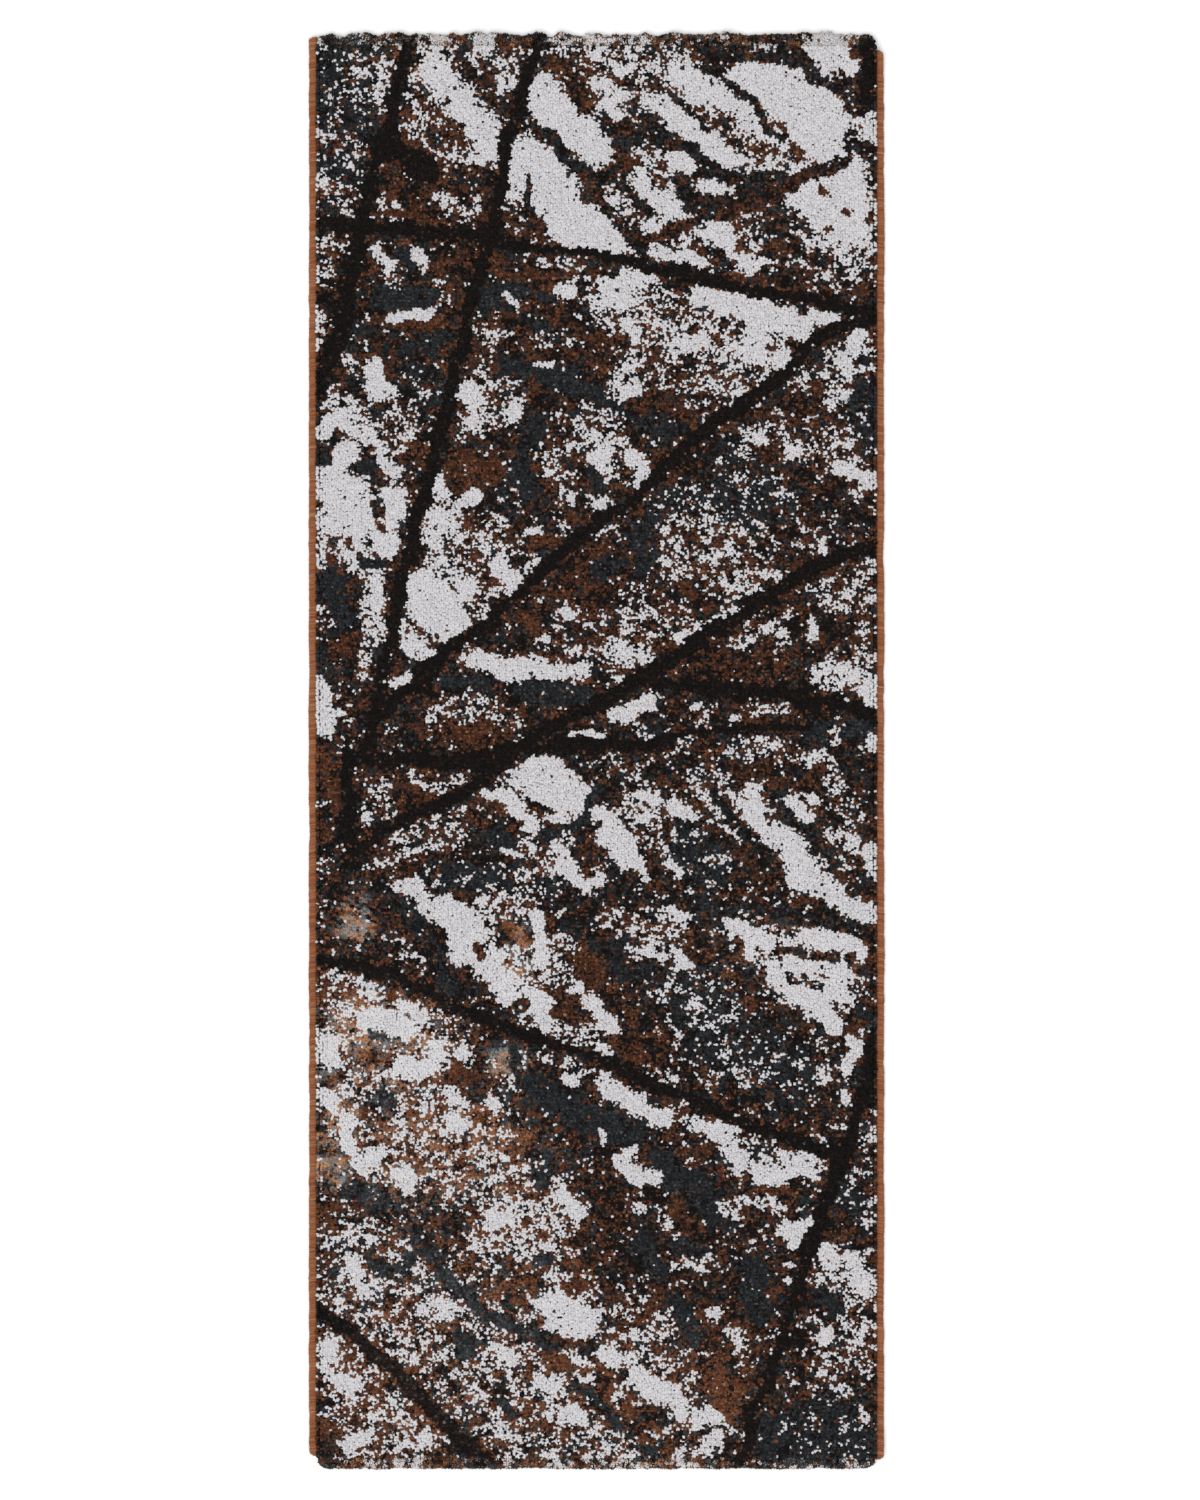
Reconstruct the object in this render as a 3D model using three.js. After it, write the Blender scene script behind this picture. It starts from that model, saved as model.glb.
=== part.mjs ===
// A machine-woven cut-pile runner rug, lying flat.
// X runs across the rug, Y along it and Z up, in millimetres. The origin is on the floor, under the middle.
//
// From the floor up it is a coat of back size, the three yarn layers of the ground weave, and the cut
// pile. Each long edge is a bare selvedge and a filler cord overcast with serging yarn. Each short end is
// a pile-free heading, folded under and sewn down, so the last rows of pile fan out over the fold.
import * as THREE from 'three';

// Overall size.
const RUG_WIDTH = 800; // over the serging
const RUG_LENGTH = 2000; // over the fanned rows of pile

// Layers, from the floor up.
const BACK_SIZE_THICKNESS = 0.5;
const LOWER_WEFT_THICKNESS = 0.75;
const STUFFER_WARP_THICKNESS = 0.75;
const UPPER_WEFT_THICKNESS = 0.75;
const PILE_HEIGHT = 9;

// The serged long edges, in a section across the rug.
const SERGING_WIDTH = 12.5;
const SERGING_HEIGHT = 6;
const SERGING_YARN = 1.25; // thickness of one wrap of yarn
const EDGE_CORD_DIAMETER = 2.5;
const SELVEDGE_WIDTH = 7.5;
const NEEDLE_THREAD_WIDTH = 1;
const NEEDLE_THREAD_HEIGHT = 0.75;
const EDGE_CLEARANCE = 0.25; // between neighbouring pieces of the edge

// The turned-under ends.
const HEADING_THICKNESS = 2;
const HEADING_LENGTH = 24; // of the flap that lies on the floor
const HEADING_INSET = 3; // of the flap's sides from the rug's sides
const FOLD_SLIT = 0.25; // between the flap and the ground above it
const HEM_SEAM_WIDTH = 1.25;
const HEM_SEAM_HEIGHT = 1;
const RAMP_LENGTH = 36; // over which the ground climbs onto the flap
const FAN_CLEARANCE = 0.25; // between the heading and the fanned rows

const ARC_STEPS = 10; // straight steps in a quarter turn

const GROUND_THICKNESS = BACK_SIZE_THICKNESS + LOWER_WEFT_THICKNESS + STUFFER_WARP_THICKNESS
  + UPPER_WEFT_THICKNESS;
const HEM_LIFT = HEADING_THICKNESS + FOLD_SLIT;
const FOLD_RADIUS = (HEM_LIFT + GROUND_THICKNESS) / 2;
const FOLD_Y = RUG_LENGTH / 2 - PILE_HEIGHT - FOLD_RADIUS; // where the ground starts to turn down
const FLAP_END_Y = FOLD_Y - HEADING_LENGTH;
const LIFTED_Y = FLAP_END_Y - HEM_SEAM_WIDTH; // the ground is level above the flap from here outwards
const LEVEL_Y = LIFTED_Y - RAMP_LENGTH; // and flat on the floor from here inwards
const STATIONS = [-FOLD_Y, -LIFTED_Y, -LEVEL_Y, LEVEL_Y, LIFTED_Y, FOLD_Y];

const HALF_WIDTH = RUG_WIDTH / 2;
const SERGING_INNER_X = HALF_WIDTH - SERGING_WIDTH;
const SERGING_MID_Z = SERGING_HEIGHT / 2;
const GROUND_HALF_WIDTH = SERGING_INNER_X - EDGE_CLEARANCE;
const PILE_HALF_WIDTH = GROUND_HALF_WIDTH - NEEDLE_THREAD_WIDTH - EDGE_CLEARANCE;

/** A yarn or coating's look: its colour, how matt it is, and no metal in it. */
function finish(colour, roughness) {
  return new THREE.MeshStandardMaterial({ color: colour, roughness, metalness: 0 });
}

const FINISHES = {
  backSize: finish(0xb9ad93, 0.8),
  jute: finish(0xa58a5e, 0.9),
  cotton: finish(0xcfc6b4, 0.85),
  pile: finish(0x5b4034, 0.75),
  serging: finish(0xa0643f, 0.7),
  needleThread: finish(0x4a2c1c, 0.6),
  heading: finish(0x9a815a, 0.9),
};

/** How far the fold lifts the rug off the floor at y. */
function liftAt(y) {
  const run = THREE.MathUtils.clamp((Math.abs(y) - LEVEL_Y) / RAMP_LENGTH, 0, 1);
  return HEM_LIFT * run;
}

/** Points on an arc in a section, both ends included, from one angle in degrees to another. */
function arc(centreX, centreZ, radius, from, to) {
  const steps = Math.ceil((Math.abs(to - from) / 90) * ARC_STEPS);
  return Array.from({ length: steps + 1 }, (_, i) => {
    const angle = THREE.MathUtils.degToRad(from + ((to - from) * i) / steps);
    const x = centreX + radius * Math.cos(angle);
    return new THREE.Vector2(x, centreZ + radius * Math.sin(angle));
  });
}

/** The corners of a rectangle in a section, anticlockwise. */
function rectangle(left, bottom, right, top) {
  return [
    new THREE.Vector2(left, bottom),
    new THREE.Vector2(right, bottom),
    new THREE.Vector2(right, top),
    new THREE.Vector2(left, top),
  ];
}

/** The same section on the other side of the middle, still anticlockwise. */
function mirrored(section) {
  return section.map((point) => new THREE.Vector2(-point.x, point.y)).reverse();
}

/** A closed body with an anticlockwise X-Z section, run along the rug and lifted over the folds. */
function alongLength(section) {
  const positions = [];
  for (const y of STATIONS) {
    for (const point of section) positions.push(point.x, y, point.y + liftAt(y));
  }
  const count = section.length;
  const indices = [];
  for (let ring = 0; ring < STATIONS.length - 1; ring += 1) {
    for (let i = 0; i < count; i += 1) {
      const a = ring * count + i;
      const b = ring * count + ((i + 1) % count);
      indices.push(a, a + count, b, b, a + count, b + count);
    }
  }
  const lastRing = (STATIONS.length - 1) * count;
  for (const [a, b, c] of THREE.ShapeUtils.triangulateShape(section, [])) {
    indices.push(a, b, c, lastRing + a, lastRing + c, lastRing + b);
  }
  const geometry = new THREE.BufferGeometry();
  geometry.setAttribute('position', new THREE.Float32BufferAttribute(positions, 3));
  geometry.setIndex(indices);
  return geometry;
}

/** A closed body with a Y-Z section, run straight across the rug. */
function acrossWidth(section, halfWidth) {
  const options = { depth: 2 * halfWidth, bevelEnabled: false };
  const geometry = new THREE.ExtrudeGeometry(new THREE.Shape(section), options);
  geometry.translate(0, 0, -halfWidth);
  const sectionX = new THREE.Vector3(0, 1, 0);
  const sectionY = new THREE.Vector3(0, 0, 1);
  const sweep = new THREE.Vector3(1, 0, 0);
  return geometry.applyMatrix4(new THREE.Matrix4().makeBasis(sectionX, sectionY, sweep));
}

const rug = new THREE.Group();

/** Adds a named piece to the rug. */
function addPiece(name, geometry, material) {
  const piece = new THREE.Mesh(geometry, material);
  piece.name = name;
  rug.add(piece);
}

/** The back size and the ground weave, each a level slab with bare edges. */
function addGround() {
  const layers = [
    ['back_size', BACK_SIZE_THICKNESS, FINISHES.backSize],
    ['weft_lower', LOWER_WEFT_THICKNESS, FINISHES.jute],
    ['stuffer_warp', STUFFER_WARP_THICKNESS, FINISHES.cotton],
    ['weft_upper', UPPER_WEFT_THICKNESS, FINISHES.jute],
  ];
  let bottom = 0;
  for (const [name, thickness, material] of layers) {
    const section = rectangle(-GROUND_HALF_WIDTH, bottom, GROUND_HALF_WIDTH, bottom + thickness);
    addPiece(name, alongLength(section), material);
    bottom += thickness;
  }
}

/** The field of cut pile, up to the folds. */
function addPileField() {
  const top = GROUND_THICKNESS + PILE_HEIGHT;
  const section = rectangle(-PILE_HALF_WIDTH, GROUND_THICKNESS, PILE_HALF_WIDTH, top);
  addPiece('pile_field', alongLength(section), FINISHES.pile);
}

/** The overcast yarn: a C in section, open towards the pile to take the selvedge. */
function sergingSection() {
  const outerX = HALF_WIDTH - SERGING_MID_Z;
  const hollowRadius = SERGING_MID_Z - SERGING_YARN;
  const hollowX = outerX - EDGE_CLEARANCE;
  return [
    new THREE.Vector2(SERGING_INNER_X, 0),
    ...arc(outerX, SERGING_MID_Z, SERGING_MID_Z, -90, 90),
    new THREE.Vector2(SERGING_INNER_X, SERGING_HEIGHT),
    new THREE.Vector2(SERGING_INNER_X, SERGING_HEIGHT - SERGING_YARN),
    ...arc(hollowX, SERGING_MID_Z, hollowRadius, 90, -90),
    new THREE.Vector2(SERGING_INNER_X, SERGING_YARN),
  ];
}

/** One long edge: bare selvedge, filler cord, serging, and the needle thread along its inner side. */
function addLongEdge(side, place) {
  const selvedgeBottom = SERGING_MID_Z - GROUND_THICKNESS / 2;
  const selvedgeEnd = SERGING_INNER_X + SELVEDGE_WIDTH;
  const selvedgeTop = selvedgeBottom + GROUND_THICKNESS;
  const selvedge = rectangle(SERGING_INNER_X, selvedgeBottom, selvedgeEnd, selvedgeTop);
  addPiece(`selvedge_${side}`, alongLength(place(selvedge)), FINISHES.heading);

  const cordRadius = EDGE_CORD_DIAMETER / 2;
  const cordX = selvedgeEnd + EDGE_CLEARANCE + cordRadius;
  const cord = arc(cordX, SERGING_MID_Z, cordRadius, 0, 360).slice(0, -1);
  addPiece(`edge_cord_${side}`, alongLength(place(cord)), FINISHES.cotton);

  addPiece(`serging_${side}`, alongLength(place(sergingSection())), FINISHES.serging);

  const threadX = GROUND_HALF_WIDTH - NEEDLE_THREAD_WIDTH;
  const threadTop = GROUND_THICKNESS + NEEDLE_THREAD_HEIGHT;
  const thread = rectangle(threadX, GROUND_THICKNESS, GROUND_HALF_WIDTH, threadTop);
  addPiece(`needle_thread_${side}`, alongLength(place(thread)), FINISHES.needleThread);
}

/** The heading: a flap on the floor that turns up round the fold to meet the ground's end. */
function headingSection() {
  const innerRadius = FOLD_RADIUS - HEADING_THICKNESS;
  return [
    new THREE.Vector2(FLAP_END_Y, 0),
    ...arc(FOLD_Y, FOLD_RADIUS, FOLD_RADIUS, -90, 90),
    ...arc(FOLD_Y, FOLD_RADIUS, innerRadius, 90, -90),
    new THREE.Vector2(FLAP_END_Y, HEADING_THICKNESS),
  ];
}

/** The rows of pile on the fold, fanned from upright to level. */
function fannedPileSection() {
  const root = FOLD_RADIUS + FAN_CLEARANCE;
  return [
    ...arc(FOLD_Y, FOLD_RADIUS, FOLD_RADIUS + PILE_HEIGHT, 0, 90),
    ...arc(FOLD_Y, FOLD_RADIUS, root, 90, 0),
  ];
}

/** One short end: heading, hem seam along its raw edge, and the fanned rows of pile. */
function addShortEnd(end, place) {
  const headingHalfWidth = HALF_WIDTH - HEADING_INSET;
  addPiece(`heading_${end}`, acrossWidth(place(headingSection()), headingHalfWidth), FINISHES.heading);

  const seamStart = FLAP_END_Y - HEM_SEAM_WIDTH;
  const seam = rectangle(seamStart, EDGE_CLEARANCE, FLAP_END_Y, EDGE_CLEARANCE + HEM_SEAM_HEIGHT);
  addPiece(`hem_seam_${end}`, acrossWidth(place(seam), headingHalfWidth), FINISHES.needleThread);

  const fan = acrossWidth(place(fannedPileSection()), PILE_HALF_WIDTH);
  addPiece(`pile_end_rows_${end}`, fan, FINISHES.pile);
}

/** Leaves a section on the side it was drawn for. */
function asDrawn(section) {
  return section;
}

addGround();
addPileField();
addLongEdge('right', asDrawn);
addLongEdge('left', mirrored);
addShortEnd('far', asDrawn);
addShortEnd('near', mirrored);

export default rug;
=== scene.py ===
"""A runner rug: cut pile on a woven ground, with overcast long edges and turned-under short ends.

X runs across the rug, Y along it and Z up. Sizes are in millimetres until a mesh is made, which is in
metres. The rug lies on the floor with its middle over the origin.
"""

import logging
import math
from dataclasses import dataclass
from enum import Enum, IntEnum
from typing import Any

import bpy
import numpy as np
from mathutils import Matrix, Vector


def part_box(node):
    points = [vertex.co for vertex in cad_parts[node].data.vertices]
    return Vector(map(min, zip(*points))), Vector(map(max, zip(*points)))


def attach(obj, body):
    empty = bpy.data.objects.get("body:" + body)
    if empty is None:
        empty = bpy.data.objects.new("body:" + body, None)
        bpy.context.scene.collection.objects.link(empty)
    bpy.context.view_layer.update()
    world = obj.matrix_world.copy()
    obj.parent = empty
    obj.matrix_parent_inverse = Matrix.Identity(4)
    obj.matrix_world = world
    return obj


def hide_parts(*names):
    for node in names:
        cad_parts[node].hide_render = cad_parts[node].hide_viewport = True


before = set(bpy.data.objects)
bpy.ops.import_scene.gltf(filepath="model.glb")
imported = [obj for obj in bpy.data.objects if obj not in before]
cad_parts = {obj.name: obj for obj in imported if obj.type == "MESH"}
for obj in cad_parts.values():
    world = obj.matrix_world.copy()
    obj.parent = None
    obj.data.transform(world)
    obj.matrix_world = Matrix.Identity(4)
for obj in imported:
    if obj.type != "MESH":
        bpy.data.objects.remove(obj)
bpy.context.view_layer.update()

log = logging.getLogger("runner rug")

MM = 0.001  # one millimetre, in metres
Point = tuple[float, float]


# --- small helpers -------------------------------------------------------------------------------------


def linear(shade: str) -> tuple[float, float, float, float]:
    """Turn an sRGB hex colour into linear light.

    Args:
        shade: The colour, as "#rrggbb".

    Returns:
        Red, green, blue and an alpha of 1, in linear light.
    """
    channels = [int(shade[i : i + 2], 16) / 255 for i in (1, 3, 5)]
    red, green, blue = (c / 12.92 if c <= 0.04045 else ((c + 0.055) / 1.055) ** 2.4 for c in channels)
    return red, green, blue, 1.0


def add_node(
    tree: bpy.types.NodeTree, kind: str, feeds: dict[Any, Any] | None = None, **settings: Any
) -> bpy.types.Node:
    """Add one node to a tree, with its settings and whatever feeds its inputs.

    Args:
        tree: The node tree to add to.
        kind: The node's type name.
        feeds: For each input, by name or number, the socket linked to it or the value set on it.
        **settings: The node's own properties.

    Returns:
        The new node.
    """
    node = tree.nodes.new(kind)
    for name, value in settings.items():
        setattr(node, name, value)
    for key, value in (feeds or {}).items():
        if isinstance(value, bpy.types.NodeSocket):
            tree.links.new(value, node.inputs[key])
        else:
            node.inputs[key].default_value = value
    return node


def cad_box(node: str) -> tuple[np.ndarray, np.ndarray]:
    """Return the lowest and highest corners of a CAD node, in millimetres."""
    low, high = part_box(node)
    return np.array(low) / MM, np.array(high) / MM


def make_piece(name: str, points: Any, faces: Any, smooth: bool = True) -> bpy.types.Object:
    """Make a mesh object at the origin.

    Args:
        name: The object's name.
        points: The vertices, in millimetres.
        faces: The faces, as lists of vertex numbers.
        smooth: Whether the faces are shaded smooth.

    Returns:
        The new object, linked to the scene.
    """
    mesh = bpy.data.meshes.new(name)
    mesh.from_pydata((np.asarray(points, dtype=float) * MM).tolist(), [], [list(map(int, f)) for f in faces])
    mesh.polygons.foreach_set("use_smooth", np.full(len(mesh.polygons), smooth))
    mesh.update()
    piece = bpy.data.objects.new(name, mesh)
    bpy.context.scene.collection.objects.link(piece)
    return piece


def keep_on_points(piece: bpy.types.Object, name: str, values: np.ndarray) -> None:
    """Store one number, or one direction, for each vertex of a piece under a name."""
    values = np.asarray(values, dtype=float)
    kind, key = ("FLOAT_VECTOR", "vector") if values.ndim == 2 else ("FLOAT", "value")
    piece.data.attributes.new(name, kind, "POINT").data.foreach_set(key, values.ravel())


def grid_faces(rows: int, columns: int, start: int = 0, close_rows: bool = False) -> list[list[int]]:
    """List the four-sided faces that join a grid of points.

    Args:
        rows: The number of rows of points.
        columns: The number of points in a row.
        start: The number of the first point.
        close_rows: Whether each row is a closed loop.

    Returns:
        The faces, each a list of four vertex numbers.
    """
    across = columns if close_rows else columns - 1
    i, j = np.meshgrid(np.arange(rows - 1), np.arange(across), indexing="ij")
    k = (j + 1) % columns
    corners = [i * columns + j, i * columns + k, (i + 1) * columns + k, (i + 1) * columns + j]
    return (np.stack([c.ravel() for c in corners], axis=1) + start).tolist()


def smooth_step(low: float, high: float, value: np.ndarray) -> np.ndarray:
    """Rise smoothly from 0 at low to 1 at high; high may be the smaller."""
    t = np.clip((value - low) / (high - low), 0, 1)
    return t * t * (3 - 2 * t)


# --- the pattern of yarns ------------------------------------------------------------------------------


class Yarn(IntEnum):
    """The four pile yarns."""

    CREAM = 0
    RUST = 1
    SLATE = 2
    BLACK = 3


class Tint(Enum):
    """What a stroke of the drawing is made of.

    The first four numbers are how strongly it calls for cream, rust, slate and black. The last is how
    broadly it is laid on, against the half width that the drawing gives.
    """

    CREAM = (2.2, 0.0, 0.0, 0.0, 1.2)
    PEPPER = (0.72, 0.3, 0.05, 0.05, 1.1)
    SAND = (0.55, 0.6, -0.15, -0.1, 1.1)
    MIXED = (0.4, 0.4, 0.1, 0.1, 1.1)
    SALTED = (0.1, 0.2, 0.25, 0.25, 1.0)
    FROST = (0.1, -0.1, 0.75, 0.25, 1.0)
    BROWN = (-0.7, 1.2, -0.1, 0.1, 0.85)
    UMBER = (-0.55, 0.7, 0.0, 0.55, 0.85)
    SLATE = (-0.6, -0.2, 1.2, 0.2, 0.85)
    STORM = (-0.5, 0.1, 0.6, 0.5, 0.85)
    BLACK = (-2.0, -0.5, -0.4, 2.2, 0.62)
    DARK = (-0.3, 0.4, 0.2, 0.4, 0.85)

    @property
    def calls(self) -> np.ndarray:
        """How strongly the stroke calls for each yarn, as a column."""
        return np.array(self.value[:4])[:, None]

    @property
    def breadth(self) -> float:
        """How broadly the stroke is laid on."""
        return self.value[4]


@dataclass
class FractalNoise:
    """Smooth random relief over the rug, made of layers that halve in size.

    Attributes:
        seed: Fixes the random numbers.
        wave: Size of the largest blotches, in millimetres.
        layers: Number of layers.
        keep: Strength of each layer against the one before.
        stretch: How far the blotches are drawn out across and along the rug.
    """

    seed: int
    wave: float
    layers: int
    keep: float
    stretch: Point = (1.0, 1.0)
    table: int = 512

    def at(self, x: np.ndarray, y: np.ndarray) -> np.ndarray:
        """Return the relief at each place, with a spread of about 1."""
        dice = np.random.default_rng(self.seed)
        total, power = np.zeros_like(x), 0.0
        for layer in range(self.layers):
            strength, size = self.keep**layer, self.wave / 2**layer
            wide, tall = size * self.stretch[0], size * self.stretch[1]
            total += strength * self.one_layer(dice, x / wide, y / tall)
            power += strength**2
        return total / math.sqrt(power)

    def one_layer(self, dice: np.random.Generator, u: np.ndarray, v: np.ndarray) -> np.ndarray:
        """Blend a table of random heights between its whole numbers.

        Args:
            dice: The source of random numbers.
            u: Place across, in cells of the table.
            v: Place along, in cells of the table.

        Returns:
            The blended heights, evened out so that they vary as much inside a cell as at its corners.
        """
        heights = dice.standard_normal((self.table, self.table))
        shift = dice.uniform(0, self.table, 2)
        u, v = u + shift[0], v + shift[1]
        i, j = np.floor(u).astype(int), np.floor(v).astype(int)
        s, t = (w * w * (3 - 2 * w) for w in (u - i, v - j))
        blend, power = 0.0, 0.0
        for di, wide in ((0, 1 - s), (1, s)):
            for dj, long in ((0, 1 - t), (1, t)):
                blend = blend + heights[(i + di) % self.table, (j + dj) % self.table] * wide * long
                power = power + (wide * long) ** 2
        return blend / np.sqrt(power)


def distance_to(path: list[Point], x: np.ndarray, y: np.ndarray) -> np.ndarray:
    """Return how far each place is from a line.

    Args:
        path: The points that the line runs through.
        x: The places across the rug.
        y: The places along it.

    Returns:
        The distances, in the same unit.
    """
    nearest = np.full_like(x, 1e9)
    for (x0, y0), (x1, y1) in zip(path, path[1:]):
        dx, dy = x1 - x0, y1 - y0
        t = np.clip(((x - x0) * dx + (y - y0) * dy) / (dx * dx + dy * dy), 0, 1)
        nearest = np.minimum(nearest, np.hypot(x - x0 - t * dx, y - y0 - t * dy))
    return nearest


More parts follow.
